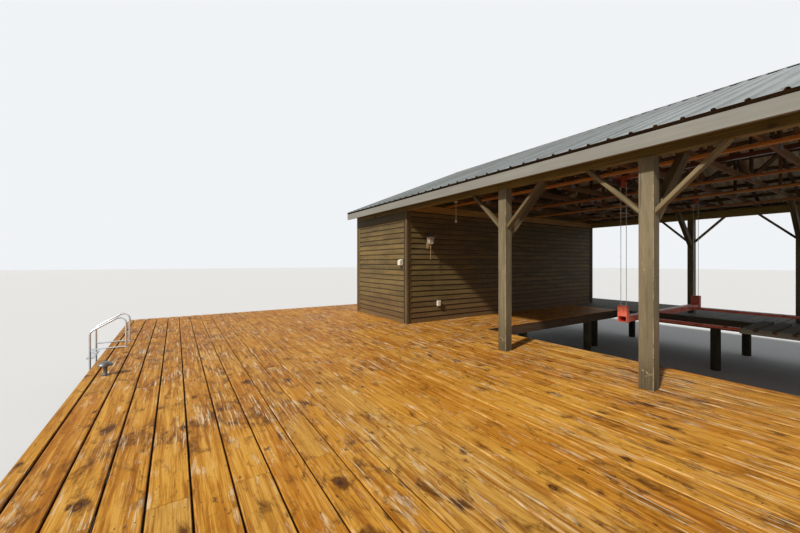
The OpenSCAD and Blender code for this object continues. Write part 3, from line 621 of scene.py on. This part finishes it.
class Boards:
    """Boards and small solids gathered into one mesh, each with its own grain, tone and edges."""

    def __init__(self, name, seed):
        self.name = name
        self.draw = np.random.default_rng(seed)
        self.points, self.faces = [], []
        self.grain, self.tone, self.edge = [], [], []
        self.count = 0

    def add(self, points, faces, origin, along, across, edges=(), tone=None):
        """One solid. edges are the places in faces of the narrow faces along its arrises."""
        points = np.array(points, float)
        axes = np.stack([along, across, np.cross(along, across)], axis=1)
        self.grain.append((points - np.array(origin, float)) @ axes)
        self.tone.append(np.full(len(points), self.draw.random() if tone is None else tone))
        self.edge += [1.0 if i in edges else 0.0 for i in range(len(faces))]
        self.faces += [[i + self.count for i in face] for face in faces]
        self.points.append(points)
        self.count += len(points)

    def board(self, start, end, width, thick, face=UP, arris=0.003, tone=None, foot=0.0):
        """A board between the middles of its ends, with its four long arrises taken off.

        foot is how much further out it stands at the bottom of its left-hand side.
        """
        start, end = np.array(start, float), np.array(end, float)
        along = (end - start) / np.linalg.norm(end - start)
        across = np.cross(np.array(face, float), along)
        across /= np.linalg.norm(across)
        up = np.cross(along, across)
        w, t, c = width / 2, thick / 2, arris
        outline = [(c - w, -t), (w - c + foot, -t), (w + foot, c - t), (w, t - c)]
        outline += [(w - c, t), (c - w, t), (-w, t - c), (-w, c - t)]
        ring = np.array([v * across + h * up for v, h in outline])
        points = np.concatenate([start + ring, end + ring])
        arrises = (1, 3, 5, 7)
        self.add(points, tube_faces(2, 8), (start + end) / 2, along, across, arrises, tone)

    def hexahedron(self, front, back, along, across, tone=None):
        """A solid between two four-cornered faces, whose corners run the same way round."""
        points = np.array([*front, *back])
        faces = [[0, 1, 2, 3], [7, 6, 5, 4]]
        faces += [[i, i + 4, (i + 1) % 4 + 4, (i + 1) % 4] for i in range(4)]
        self.add(points, faces, points.mean(0), along, across, (), tone)

    def turned(self, centre, outline, sides, axis=UP):
        """A solid turned about an axis from the (radius, height) pairs of its outline, foot first."""
        centre, axis = Vector(centre), Vector(axis).normalized()
        side = axis.orthogonal().normalized()
        outward = spokes(axis, side, sides)
        points = [centre + out * radius + axis * height for radius, height in outline for out in outward]
        self.add(points, tube_faces(len(outline), sides), centre, side, axis.cross(side))

    def disc(self, centre, normal, radius, height, sides, top=1.0):
        """A short round stub that stands on a face, its top a share of its foot."""
        self.turned(centre, [(radius, 0.0), (radius * top, height)], sides, normal)

    def rod(self, path, radius, sides):
        """A round rod that follows a path."""
        path = [Vector(p) for p in path]
        side = (path[1] - path[0]).orthogonal().normalized()
        points = []
        for i, place in enumerate(path):
            ahead = (path[min(i + 1, len(path) - 1)] - path[max(i - 1, 0)]).normalized()
            side = (side - ahead * side.dot(ahead)).normalized()
            points += [place + out * radius for out in spokes(ahead, side, sides)]
        self.add(points, tube_faces(len(path), sides), path[0], (1, 0, 0), (0, 1, 0))

    def make(self, material, node=None, smooth=None):
        """The solids as one piece, in a CAD node's place if one is named."""
        mesh = bpy.data.meshes.new(self.name)
        mesh.from_pydata(np.concatenate(self.points).tolist(), [], self.faces)
        if smooth:
            mesh.shade_smooth()
            mesh.set_sharp_from_angle(angle=math.radians(smooth))
        write_wood(mesh, np.concatenate(self.grain), np.concatenate(self.tone), self.edge)
        settle(self.name, mesh, material, node)


def write_wood(mesh, grain, tone, edge):
    """What the materials read: each point's place in the grain and its tone, and which faces are arrises."""
    rows = (("grain", "FLOAT_VECTOR", "POINT", "vector", grain),
            ("tone", "FLOAT", "POINT", "value", tone),
            ("edge", "FLOAT", "FACE", "value", edge))
    for name, kind, domain, key, values in rows:
        attribute = mesh.attributes.new(name, kind, domain)
        attribute.data.foreach_set(key, np.asarray(values, np.float32).ravel())


def settle(name, mesh, material, node=None, body="root"):
    """Makes a mesh a piece that rides on a body."""
    mesh.materials.append(material)
    piece = add_object(name, mesh)
    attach(piece, body)
    if node:
        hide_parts(node)
    return piece


def welded(node):
    """A CAD node's solids as a bmesh of whole faces."""
    mesh = bmesh.new()
    mesh.from_mesh(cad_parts[node].data)
    bmesh.ops.remove_doubles(mesh, verts=mesh.verts, dist=1e-5)
    bmesh.ops.dissolve_limit(mesh, angle_limit=math.radians(1), verts=mesh.verts, edges=mesh.edges)
    return mesh


def solids_of(mesh):
    """Lists of the vertices of each separate solid of a bmesh."""
    mesh.verts.index_update()
    seen, solids = set(), []
    for first in mesh.verts:
        if first.index in seen:
            continue
        seen.add(first.index)
        solid, queue = [], [first]
        while queue:
            vertex = queue.pop()
            solid.append(vertex)
            for edge in vertex.link_edges:
                other = edge.other_vert(vertex)
                if other.index not in seen:
                    seen.add(other.index)
                    queue.append(other)
        solids.append(solid)
    return solids


def boxes_of(node):
    """The lowest and highest corners of each solid of a CAD node."""
    mesh = welded(node)
    clouds = [np.array([v.co for v in solid]) for solid in solids_of(mesh)]
    mesh.free()
    return [(Vector(points.min(0)), Vector(points.max(0))) for points in clouds]


def one_way(axis):
    """An axis in one of its two directions, the same in each run."""
    axis = axis.normalized()
    return -axis if axis.dot(LEADING) < 0 else axis


def dressed(node, material, arris, seed, body="root"):
    """A copy of a CAD node with its arrises taken off, and grain along each of its solids."""
    mesh = welded(node)
    sharp = [e for e in mesh.edges if len(e.link_faces) == 2 and e.calc_face_angle() > SHARP]
    made = bmesh.ops.bevel(
        mesh, geom=sharp, offset=arris, segments=1, profile=0.5, affect="EDGES", clamp_overlap=True
    )
    narrow = set(made["faces"])
    draw = np.random.default_rng(seed)
    grain = np.zeros((len(mesh.verts), 3))
    tone = np.zeros(len(mesh.verts))
    for solid in solids_of(mesh):
        # In the mesh's own order, so that among equals each run picks the same
        links = dict.fromkeys(edge for vertex in solid for edge in vertex.link_edges)
        longest = max(links, key=lambda edge: edge.calc_length())
        along = one_way(longest.verts[1].co - longest.verts[0].co)
        faces = dict.fromkeys(face for vertex in solid for face in vertex.link_faces)
        widest = one_way(max(faces, key=lambda face: face.calc_area()).normal)
        across = widest.cross(along).normalized()
        axes = np.stack([along, across, along.cross(across)], axis=1)
        points = np.array([v.co for v in solid])
        local = (points - (points.min(0) + points.max(0)) / 2) @ axes
        share = draw.random()
        for vertex, point in zip(solid, local):
            grain[vertex.index] = point
            tone[vertex.index] = share
    for face in mesh.faces:
        face.smooth = False
    edge = [1.0 if face in narrow else 0.0 for face in mesh.faces]
    data = bpy.data.meshes.new(node + "_dressed")
    mesh.to_mesh(data)
    mesh.free()
    write_wood(data, grain, tone, edge)
    return settle(node + "_dressed", data, material, node, body)


def dress(nodes, material, arris, seed, body="root"):
    """Dresses CAD nodes alike, each with the next seed."""
    for i, node in enumerate(nodes.split()):
        dressed(node, material, arris, seed + i, body)


def finish_cad(node, material):
    """Gives a CAD node that stays a better material."""
    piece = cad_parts[node]
    for place in range(len(piece.data.materials)):
        piece.data.materials[place] = material


# Docks


def deck_rows():
    """The left and right edges of the main deck's boards, from the slip's edge outwards."""
    rows = []
    right = DECK_HIGH.x
    while right > DECK_LOW.x + 0.03:
        left = max(DECK_LOW.x, right - (DECK_BOARD if rows else SLIP_EDGE_BOARD))
        if left - DECK_LOW.x < 0.04:
            left = DECK_LOW.x
        rows.append((left, right))
        right = left - DECK_GAP
    return rows


def seams(low, high, first, length):
    """The places of the joints of a row of boards, in order."""
    before, after = math.ceil((first - low) / length), math.ceil((high - first) / length)
    places = [first + i * length for i in range(-before, after + 1)]
    return [y for y in places if low + 0.3 < y < high - 0.3]


def lay_main_deck():
    """Wide boards along the dock, their joints staggered by half."""
    low, high = DECK_LOW, DECK_HIGH
    thick = high.z - low.z
    boards = Boards("main_deck_boards", 11)
    for row, (left, right) in enumerate(deck_rows()):
        first = SITE.y + DECK_SEAM + (DECK_LENGTH / 2 if row % 2 else 0.0)
        ends = [low.y, *seams(low.y, high.y, first, DECK_LENGTH), high.y]
        x = (left + right) / 2
        foot = DECK_GAP - 0.0005 if left > low.x else 0.0
        for y0, y1 in zip(ends, ends[1:]):
            z = high.z - thick / 2 - boards.draw.uniform(0, 0.0015)
            start = (x, y0 if y0 == low.y else y0 + SEAM_GAP / 2, z)
            end = (x, y1 if y1 == high.y else y1 - SEAM_GAP / 2, z)
            boards.board(start, end, right - left, thick, arris=DECK_ARRIS, foot=foot)
    boards.make(DECK, "main_deck")


def lay_walkway():
    """Boards across the walkway, from its lip to the back of the room."""
    low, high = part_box("walkway_deck")
    thick = high.z - low.z
    boards = Boards("walkway_boards", 12)
    front = low.y
    while front < high.y - 0.03:
        back = min(high.y, front + DECK_BOARD)
        middle = low.x + (high.x - low.x) * boards.draw.uniform(0.3, 0.7)
        y = (front + back) / 2
        z = high.z - thick / 2 - boards.draw.uniform(0, 0.0015)
        for x0, x1 in ((low.x, middle - SEAM_GAP / 2), (middle + SEAM_GAP / 2, high.x)):
            boards.board((x0, y, z), (x1, y, z), back - front, thick, arris=DECK_ARRIS)
        front = back + WALKWAY_GAP
    boards.make(DECK, "walkway_deck")


def lay_far_dock():
    """Narrower boards across the far dock, with the joint between its two sections."""
    low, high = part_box("right_deck")
    thick = high.z - low.z
    boards = Boards("far_dock_boards", 13)
    seam = SITE.y + FAR_SECTION_SEAM
    front = low.y
    while front < high.y - 0.03:
        back = min(high.y, front + FAR_BOARD)
        y = (front + back) / 2
        z = high.z - thick / 2 - boards.draw.uniform(0, 0.002)
        boards.board((low.x, y, z), (high.x, y, z), back - front, thick, arris=DECK_ARRIS)
        front = back + (3 * FAR_GAP if front < seam < back + FAR_GAP else FAR_GAP)
    boards.make(FAR_DECK, "right_deck")


def drive_deck_screws():
    """Two screw heads in each main deck board at each joist."""
    screws = Boards("deck_screws", 14)
    joists = boxes_of("dock_joists")
    joists = sorted({round((low.y + high.y) / 2, 3) for low, high in joists if high.x < DECK_HIGH.x})
    for left, right in deck_rows():
        for y in joists:
            for edge in (right - 0.03, left + 0.03):
                x = edge + screws.draw.uniform(-0.004, 0.004)
                centre = (x, y + screws.draw.uniform(-0.01, 0.01), DECK_HIGH.z - 0.0016)
                screws.disc(centre, UP, 0.005, 0.0018, 6, 0.8)
    screws.make(DECK_SCREW)


# Walls


def lap_wall(node, start, end, seed):
    """Courses of lap boards up one face of a wall, over the wall itself set back behind them."""
    low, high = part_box(node)
    start, end = Vector((*start, low.z)), Vector((*end, low.z))
    length = (end - start).length
    along = (end - start).normalized()
    outward = along.cross(UP)
    boards = Boards(node + "_siding", seed)
    # The wall behind the boards
    depth = abs((high - low).dot(outward)) - LAP_CORE
    foot = (start + end) / 2 - outward * (LAP_CORE + depth / 2)
    head = Vector((foot.x, foot.y, high.z))
    boards.board(foot, head, length, depth, outward, LAP_ARRIS, 0.5)
    lean = math.atan2(LAP_LEAN, LAP_BOARD)
    face = outward * math.cos(lean) + UP * math.sin(lean)
    rise = UP * math.cos(lean) - outward * math.sin(lean)
    z = low.z
    while z < high.z - 0.01:
        width = min(LAP_BOARD, (high.z - z) / math.cos(lean))
        offset = rise * (width / 2) - face * (LAP_BUTT / 2)
        stops = [0.0, length]
        if boards.draw.random() < LAP_JOINT_SHARE:
            stops.insert(1, length * boards.draw.uniform(0.25, 0.75))
        for near, far in zip(stops, stops[1:]):
            a = start + along * (near + (0.001 if near > 0 else 0.0))
            b = start + along * (far - (0.001 if far < length else 0.0))
            a.z = b.z = z
            boards.board(a + offset, b + offset, width, LAP_BUTT, face, LAP_ARRIS)
        z += LAP_EXPOSURE
    boards.make(SIDING, node)


def lap_gable(node, outward, seed):
    """Courses of lap boards up a gable, cut to the slope, over its core."""
    low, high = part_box(node)
    chord_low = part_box("truss_bottom_chords")[0].z
    header = boxes_of("front_header")[0][1].x - SITE.x
    half = high.x - SITE.x
    shoulder = high.z - half * ROOF_SLOPE
    y_face, y_back = (low.y, high.y) if outward < 0 else (high.y, low.y)
    boards = Boards(node + "_siding", seed)

    def reach(z):
        """How far the gable goes out from the ridge at a height."""
        if z < chord_low:
            return header
        if z < shoulder:
            return half
        return max(0.0, (high.z - z) / ROOF_SLOPE)

    def layer(heights, reaches, front, back, tone=None):
        """A solid between two heights, with the reach and the y of its front and back at each."""
        corners = [(-reaches[0], 0), (reaches[0], 0), (reaches[1], 1), (-reaches[1], 1)]
        faces = [[(SITE.x + x, ys[end], heights[end]) for x, end in corners] for ys in (front, back)]
        if outward > 0:
            faces = [face[::-1] for face in faces]
        boards.hexahedron(*faces, (1, 0, 0), UP, tone)

    y_core = y_face - outward * LAP_CORE
    levels = [low.z, chord_low, shoulder, high.z - 0.001]
    for z0, z1 in zip(levels, levels[1:]):
        reaches = (reach(z0), reach(z1 - 0.0005))
        layer((z0, z1), reaches, (y_core, y_core), (y_back, y_back), 0.5)
    y_top = y_face - outward * LAP_LEAN
    butt = outward * LAP_BUTT
    z = low.z + 0.02
    while z < high.z - 0.05:
        top = min(z + LAP_BOARD, high.z - 0.02)
        reaches = (min(reach(z), reach(z + LAP_EXPOSURE / 2)), min(reach(z), reach(top)))
        layer((z, top), reaches, (y_face, y_top), (y_face - butt, y_top - butt))
        z += LAP_EXPOSURE
    boards.make(SIDING, node)


def side_the_room():
    """Lap boards on the four walls and on both gables."""
    front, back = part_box("front_wall")[0].y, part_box("back_wall")[1].y
    left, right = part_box("left_wall")[0].x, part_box("right_wall")[1].x
    lap_wall("front_wall", (left, front), (right, front), 21)
    lap_wall("back_wall", (right, back), (left, back), 22)
    lap_wall("left_wall", (left, back), (left, front), 23)
    lap_wall("right_wall", (right, front), (right, back), 24)
    lap_gable("front_gable", -1, 25)
    lap_gable("back_gable", 1, 26)


# Beams, trusses and roof


def build_side_beams():
    """Each beam is three plies, jointed over different posts, under a flat plate."""
    low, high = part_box("side_beams")
    plate_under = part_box("truss_bottom_chords")[0].z - PLY
    plate = plate_under + PLY / 2
    depth = plate_under - low.z
    z = low.z + depth / 2
    posts = boxes_of("posts")
    post_ys = sorted({round((a.y + b.y) / 2, 4) for a, b in posts})
    boards = Boards("side_beam_plies", 31)
    for side in (0, 1):
        post_low, post_high = [b for b in posts if (b[0].x > SITE.x) == bool(side)][0]
        x = (post_low.x + post_high.x) / 2
        for ply in (-1, 0, 1):
            joint = post_ys[(ply + 2 + side) % len(post_ys)]
            centre = x + ply * PLY
            for y0, y1 in ((low.y, joint - 0.0015), (joint + 0.0015, high.y)):
                boards.board((centre, y0, z), (centre, y1, z), depth, PLY - 0.0005, (1, 0, 0))
        boards.board((x, low.y, plate), (x, high.y, plate), post_high.x - post_low.x, PLY)
    boards.make(BEAM, "side_beams")


def press_nail_plates():
    """Toothed plates over the joints on both faces of every truss."""
    chords = boxes_of("truss_bottom_chords")
    seat, top = chords[0][0].z, chords[0][1].z
    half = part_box("truss_bottom_chords")[1].x - SITE.x
    ridge_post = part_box("truss_posts")[1]
    panel = ridge_post.x - SITE.x - (top - seat) / 2
    under = seat + (half - panel) * ROOF_SLOPE
    # Each plate's place across and up the truss, its width and its height
    joints = [(0.0, top, 0.20, 0.12), (0.0, ridge_post.z + 0.01, 0.16, 0.12)]
    for side in (-1, 1):
        joints.append((side * panel, top, 0.13, 0.10))
        joints.append((side * panel, under + 0.01, 0.13, 0.11))
        joints.append((side * (half - 0.16), seat + 0.07, 0.18, 0.10))
    plates = Boards("nail_plates", 41)
    for low, high in chords:
        for y, out in ((low.y, -1), (high.y, 1)):
            for x, z, wide, tall in joints:
                middle = Vector((SITE.x + x, y + out * NAIL_PLATE / 2, z))
                across = Vector((wide / 2, 0, 0))
                plates.board(middle - across, middle + across, tall, NAIL_PLATE, (0, out, 0), 0.0004)
    plates.make(GALVANISED)


def drive_roof_screws():
    """Washered screws beside the ribs along each purlin."""
    screws = Boards("roof_screws", 51)
    slope = math.atan(ROOF_SLOPE)
    low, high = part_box("right_roof_sheet")
    count = math.floor((high.y - low.y - 0.046) / RIB_PITCH)
    first = (low.y + high.y - count * RIB_PITCH) / 2 + 0.045
    for a, b in boxes_of("roof_purlins"):
        side = 1 if (a.x + b.x) / 2 > SITE.x else -1
        normal = Vector((side * math.sin(slope), 0, math.cos(slope)))
        face = (a + b) / 2 + normal * (PLY / 2 + ROOF_SHEET)
        for i in range(count):
            foot = Vector((face.x, first + i * RIB_PITCH, face.z))
            screws.disc(foot, normal, 0.008, 0.0015, 8)
            screws.disc(foot + normal * 0.0015, normal, 0.0048, 0.005, 6, 0.9)
    screws.make(ROOF_SCREW)


# Lift


def strand_cables():
    """Twisted wire ropes, fixed at the sheaves."""
    strands, sides, turn, spacing = 7, 14, 0.075, 0.012
    points, faces = [], []
    boxes = boxes_of("lift_cables")
    for low, high in boxes:
        centre = (low + high) / 2
        radius = (high.x - low.x) / 2
        steps = int((high.z - low.z) / spacing) + 1
        faces += [[i + len(points) for i in face] for face in tube_faces(steps + 1, sides)]
        for i in range(steps + 1):
            rise = (high.z - low.z) * i / steps
            for k in range(sides):
                angle = 2 * math.pi * k / sides
                lobe = radius * (0.88 + 0.12 * math.cos(strands * angle))
                angle += 2 * math.pi * rise / turn
                x, y = centre.x + lobe * math.cos(angle), centre.y + lobe * math.sin(angle)
                points.append((x, y, low.z + rise))
    mesh = bpy.data.meshes.new("lift_wire_ropes")
    mesh.from_pydata(points, [], faces)
    mesh.materials.append(CABLE)
    ropes = add_object("lift_wire_ropes", mesh)
    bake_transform(ropes)
    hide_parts("lift_cables")


def dress_lift_planks():
    """Pale planks, made paler as painted sunlight, over a dark bunk at one end and a cleat of fresh wood at
    the other.
    """
    piece = dressed("lift_planks", SUNLIT_PLANK, 0.004, 96, "lift")
    near = Vector((1e-4, 1e-4, 1e-4))
    long_ways = [b for b in boxes_of("lift_planks") if b[1].y - b[0].y > b[1].x - b[0].x]
    long_ways.sort(key=lambda box: -box[0].x)
    for place, (material, (low, high)) in enumerate(zip((BUNK, CLEAT), long_ways), 1):
        piece.data.materials.append(material)
        for face in piece.data.polygons:
            if all(a < c < b for a, c, b in zip(low - near, face.center, high + near)):
                face.material_index = place


# Fittings. Outlines are (radius, height) pairs, foot first


def hang_lantern():
    """A six-sided lantern with barred glass, on a scrolled arm, with a long tail."""
    low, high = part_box("wall_lantern")
    middle = Vector(((low.x + high.x) / 2, low.y + 0.117, high.z - 0.18))
    wall = high.y
    arm = middle.z - 0.135
    metal = Boards("lantern_frame", 101)
    plate = Vector((middle.x, wall - 0.006, arm - 0.06))
    metal.board(plate, plate + UP * 0.15, 0.07, 0.012, (0, -1, 0))
    for z in (-0.035, 0.065):
        metal.disc((middle.x, wall - 0.012, arm + z), (0, -1, 0), 0.005, 0.003, 10, 0.7)
    metal.rod([(middle.x, wall - 0.01, arm), (middle.x, middle.y, arm)], 0.008, 16)
    scroll = []
    for i in range(34):
        turn = math.radians(-90 + i * 16)
        reach = 0.03 * (1 - i / 46)
        y, z = wall - 0.065 + reach * math.cos(turn), arm + 0.034 + reach * math.sin(turn)
        scroll.append((middle.x, y, z))
    metal.rod(scroll, 0.0045, 10)
    tail = [(0.002, -0.46), (0.005, -0.45), (0.009, -0.17), (0.019, -0.158), (0.022, -0.15), (0.019, -0.14)]
    tail += [(0.011, -0.13), (0.013, -0.116), (0.042, -0.104), (0.044, -0.098), (0.07, -0.095)]
    metal.turned(middle, [*tail, (0.072, -0.086)], 24)
    cap = Boards("lantern_cap", 102)
    roof = [(0.1, 0.068), (0.116, 0.076), (0.117, 0.083), (0.085, 0.099), (0.05, 0.126)]
    cap.turned(middle, [*roof, (0.046, 0.146), (0.03, 0.148)], 6)
    finial = [(0.02, 0.146), (0.022, 0.15), (0.012, 0.155), (0.016, 0.164), (0.013, 0.173), (0.004, 0.179)]
    cap.turned(middle, finial, 20)
    # The cage: a post at each corner, and bars and a pane between each two
    panes = Boards("lantern_panes", 103)
    corners = spokes(UP, UP.orthogonal().normalized(), 6)
    foot = [middle + out * 0.07 - UP * 0.088 for out in corners]
    head = [middle + out * 0.097 + UP * 0.072 for out in corners]
    bars = [((0.0, height), (1.0, height)) for height in (0.0, 1.0, 0.62)] + [((0.5, 0.0), (0.5, 1.0))]
    for i in range(6):
        j = (i + 1) % 6
        metal.rod([foot[i], head[i]], 0.0055, 8)
        across = (foot[j] - foot[i]).normalized()
        out = across.cross((head[i] + head[j] - foot[i] - foot[j]).normalized())
        for bar in bars:
            ends = [foot[i].lerp(head[i], v).lerp(foot[j].lerp(head[j], v), u) for u, v in bar]
            metal.rod(ends, 0.0032, 6)
        pane = [foot[i], foot[j], head[j], head[i]]
        panes.hexahedron([p - out * 0.0005 for p in pane], [p - out * 0.0035 for p in pane], across, UP)
    metal.make(LANTERN, "wall_lantern", smooth=40)
    cap.make(LANTERN_CAP, smooth=40)
    panes.make(GLASS)


def fit_outlets():
    """A flat outlet with two lids on the front wall, and a hooded one on the side wall."""
    dressed("outlet_box", OUTLET, 0.003, 104)
    boxes = sorted(boxes_of("outlet_box"), key=lambda box: box[0].y)
    lids = Boards("outlet_lids", 105)
    slots = Boards("outlet_slots", 106)
    low, high = boxes[0]
    x, z = (low.x + high.x) / 2, (low.z + high.z) / 2
    for side in (-1, 1):
        foot = Vector((x + side * 0.023, low.y, z - 0.058))
        lids.board(foot, foot + UP * 0.116, 0.036, 0.005, (0, -1, 0), 0.002)
    foot = Vector((x, low.y, z - 0.05))
    slots.board(foot, foot + UP * 0.1, 0.006, 0.002, (0, -1, 0), 0.0005)
    low, high = boxes[-1]
    y = (low.y + high.y) / 2
    foot = Vector((low.x + 0.0005, y, low.z + 0.012))
    lids.board(foot, foot + UP * 0.09, 0.084, 0.004, (-1, 0, 0), 0.0015)
    middle = Vector(((low.x + high.x) / 2 - 0.012, y, low.z + 0.006))
    across = Vector((0.026, 0, 0))
    slots.board(middle - across, middle + across, 0.08, 0.003)
    lids.make(OUTLET)
    slots.make(SOCKET)


def hang_pendant():
    """A bare bulb in its holder on a thin stem."""
    low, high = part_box("pendant_lamp")
    middle = (low + high) / 2
    top = Vector((middle.x, middle.y, high.z))
    drop = high.z - low.z
    bulb = 0.0275
    lamp = Boards("pendant_lamp_dressed", 107)
    lamp.turned(top, [(0.008, -0.016), (0.03, -0.014), (0.043, -0.008), (0.045, -0.002), (0.045, 0.0)], 32)
    lamp.turned(top, [(0.005, 0.058 - drop), (0.005, -0.01)], 16)
    holder = [(0.014, 0.036), (0.016, 0.04), (0.015, 0.06), (0.008, 0.068)]
    lamp.turned(top, [(radius, height - drop) for radius, height in holder], 24)
    turns = [math.radians(-88 + i * 13) for i in range(13)]
    round_bulb = [(bulb * math.cos(turn), bulb - drop + bulb * math.sin(turn)) for turn in turns]
    lamp.turned(top, round_bulb, 24)
    lamp.make(LAMP, "pendant_lamp", smooth=50)


def stand_dock_light():
    """A mushroom light: a domed cap over a lens ring, on a ringed stem."""
    low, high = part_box("dock_light")
    foot = Vector(((low.x + high.x) / 2, (low.y + high.y) / 2, low.z))
    light = Boards("dock_light_dressed", 108)
    stem = [(0.045, 0.0), (0.045, 0.005), (0.041, 0.008), (0.024, 0.012), (0.02, 0.02), (0.02, 0.05)]
    stem += [(0.023, 0.052), (0.023, 0.058), (0.02, 0.06), (0.02, 0.094), (0.024, 0.1), (0.024, 0.12)]
    light.turned(foot, stem, 40)
    dome = [(0.074, 0.119), (0.079, 0.122), (0.08, 0.13), (0.076, 0.139), (0.066, 0.151)]
    dome += [(0.05, 0.163), (0.03, 0.171), (0.01, 0.1755), (0.002, 0.176)]
    light.turned(foot, dome, 48)
    for degrees in (30, 150, 270):
        turn = math.radians(degrees)
        place = foot + Vector((math.cos(turn), math.sin(turn), 0)) * 0.034 + UP * 0.007
        light.disc(place, UP, 0.005, 0.003, 12, 0.7)
    light.make(LIGHT_METAL, "dock_light", smooth=35)


# Setting, with its colours as linear ones
FLOOR_REACH = 160
FLOOR_SEEN = (0.78, 0.78, 0.77, 1)
FLOOR_THROWN = (0.2, 0.2, 0.19, 1)
# Painted shadow under the main deck
FLOOR_SHADOW = (0.035, 0.03, 0.02, 1)
SUN_TRAVEL = Vector((0.754, 0.223, -0.618))
SUN_STRENGTH = 3.8
SKY_LIGHT = 0.25
SKY_SEEN = 0.92


def seen_rays(graph):
    """1 for the rays that show a thing itself, 0 for those that carry its light to others."""
    rays = graph.place("LightPath").outputs
    seen = graph.math("MAXIMUM", rays["Is Camera Ray"], rays["Is Glossy Ray"])
    return graph.math("MAXIMUM", seen, rays["Is Transmission Ray"])


def lay_floor():
    """A floor that is pale where it is seen, darker in the light that it throws back, with a painted shadow
    under the main deck.
    """
    mesh = bpy.data.meshes.new("floor")
    corners = [(x * FLOOR_REACH, y * FLOOR_REACH, 0) for x, y in ((-1, -1), (1, -1), (1, 1), (-1, 1))]
    mesh.from_pydata(corners, [], [[0, 1, 2, 3]])
    paint = Finish("floor", FLOOR_THROWN, 0.9, weather=None)
    # Painted shadow on the ground right under the main deck, dark as seen down between its boards
    middle, half = (DECK_LOW + DECK_HIGH) / 2, (DECK_HIGH - DECK_LOW) / 2
    inside = []
    for place, centre, reach in ((paint.x, middle.x, half.x), (paint.y, middle.y, half.y)):
        out = paint.math("ABSOLUTE", paint.math("SUBTRACT", place, centre))
        inside.append(paint.math("SUBTRACT", reach, out))
    under = paint.step(paint.math("MINIMUM", *inside), 0.0, 0.6)
    paint.lay(paint.mix(under, FLOOR_SEEN, FLOOR_SHADOW), seen_rays(paint))
    paint.feed(paint.shader["Base Color"], paint.colour)
    mesh.materials.append(paint.material)
    floor = add_object("floor", mesh)
    floor.location.z = -0.002


def light_scene():
    """A low sun and a pale sky, which is brighter to look at than the light that it gives."""
    sun = add_object("sun", bpy.data.lights.new("sun", "SUN"))
    sun.data.energy = SUN_STRENGTH
    sun.data.angle = math.radians(3)
    sun.data.color = (1.0, 0.975, 0.94)
    sun.rotation_euler = SUN_TRAVEL.to_track_quat("-Z", "Y").to_euler()
    world = bpy.data.worlds.new("sky")
    world.use_nodes = True
    bpy.context.scene.world = world
    graph = Graph(world.node_tree)
    background = world.node_tree.nodes["Background"].inputs
    background["Color"].default_value = (0.95, 0.975, 1.0, 1)
    strength = graph.plus(SKY_LIGHT, seen_rays(graph), SKY_SEEN - SKY_LIGHT)
    graph.feed(background["Strength"], strength)


# The building, piece by piece

lay_main_deck()
lay_walkway()
lay_far_dock()
drive_deck_screws()
dress("dock_side_skirts dock_end_skirts dock_beams", DOCK_FRAME, 0.004, 61)
dress("dock_joists walkway_joists", DOCK_FRAME, 0.003, 64)
dress("dock_piles", PILE, 0.006, 66)
dress("posts", POST, 0.006, 71)
dress("side_braces cross_braces", BRACE, 0.005, 72)
build_side_beams()
TRUSS_NODES = "truss_bottom_chords left_rafters right_rafters truss_posts truss_diagonals"
dress(TRUSS_NODES, TRUSS, 0.003, 74)
dress("truss_runners", LIT_RUNNER, 0.003, 79)
press_nail_plates()
dress("roof_purlins", PURLIN, 0.003, 80)
for roof_node in ("left_roof_sheet", "right_roof_sheet", "ridge_cap"):
    finish_cad(roof_node, ROOF)
drive_roof_screws()
dress("eave_fascias left_barge_boards right_barge_boards", FASCIA, 0.003, 81)
side_the_room()
dress("front_header", LIT_HEADER, 0.003, 84)
dress("corner_boards", TRIM, 0.003, 85)
dress("side_friezes", SHADED_FRIEZE, 0.003, 86)
dress("hoist_rails", SHADED_HOIST, 0.004, 91)
dress("hoist_sheaves", SHADED_HOIST, 0.002, 92)
dress("lift_cross_beams lift_rails", LIFT, 0.002, 93, "lift")
dress("lift_brackets", LIFT, 0.003, 95, "lift")
dress_lift_planks()
strand_cables()
hang_lantern()
fit_outlets()
hang_pendant()
finish_cad("swim_ladder", LADDER)
stand_dock_light()

lay_floor()
light_scene()
bpy.context.scene.view_settings.view_transform = "Standard"
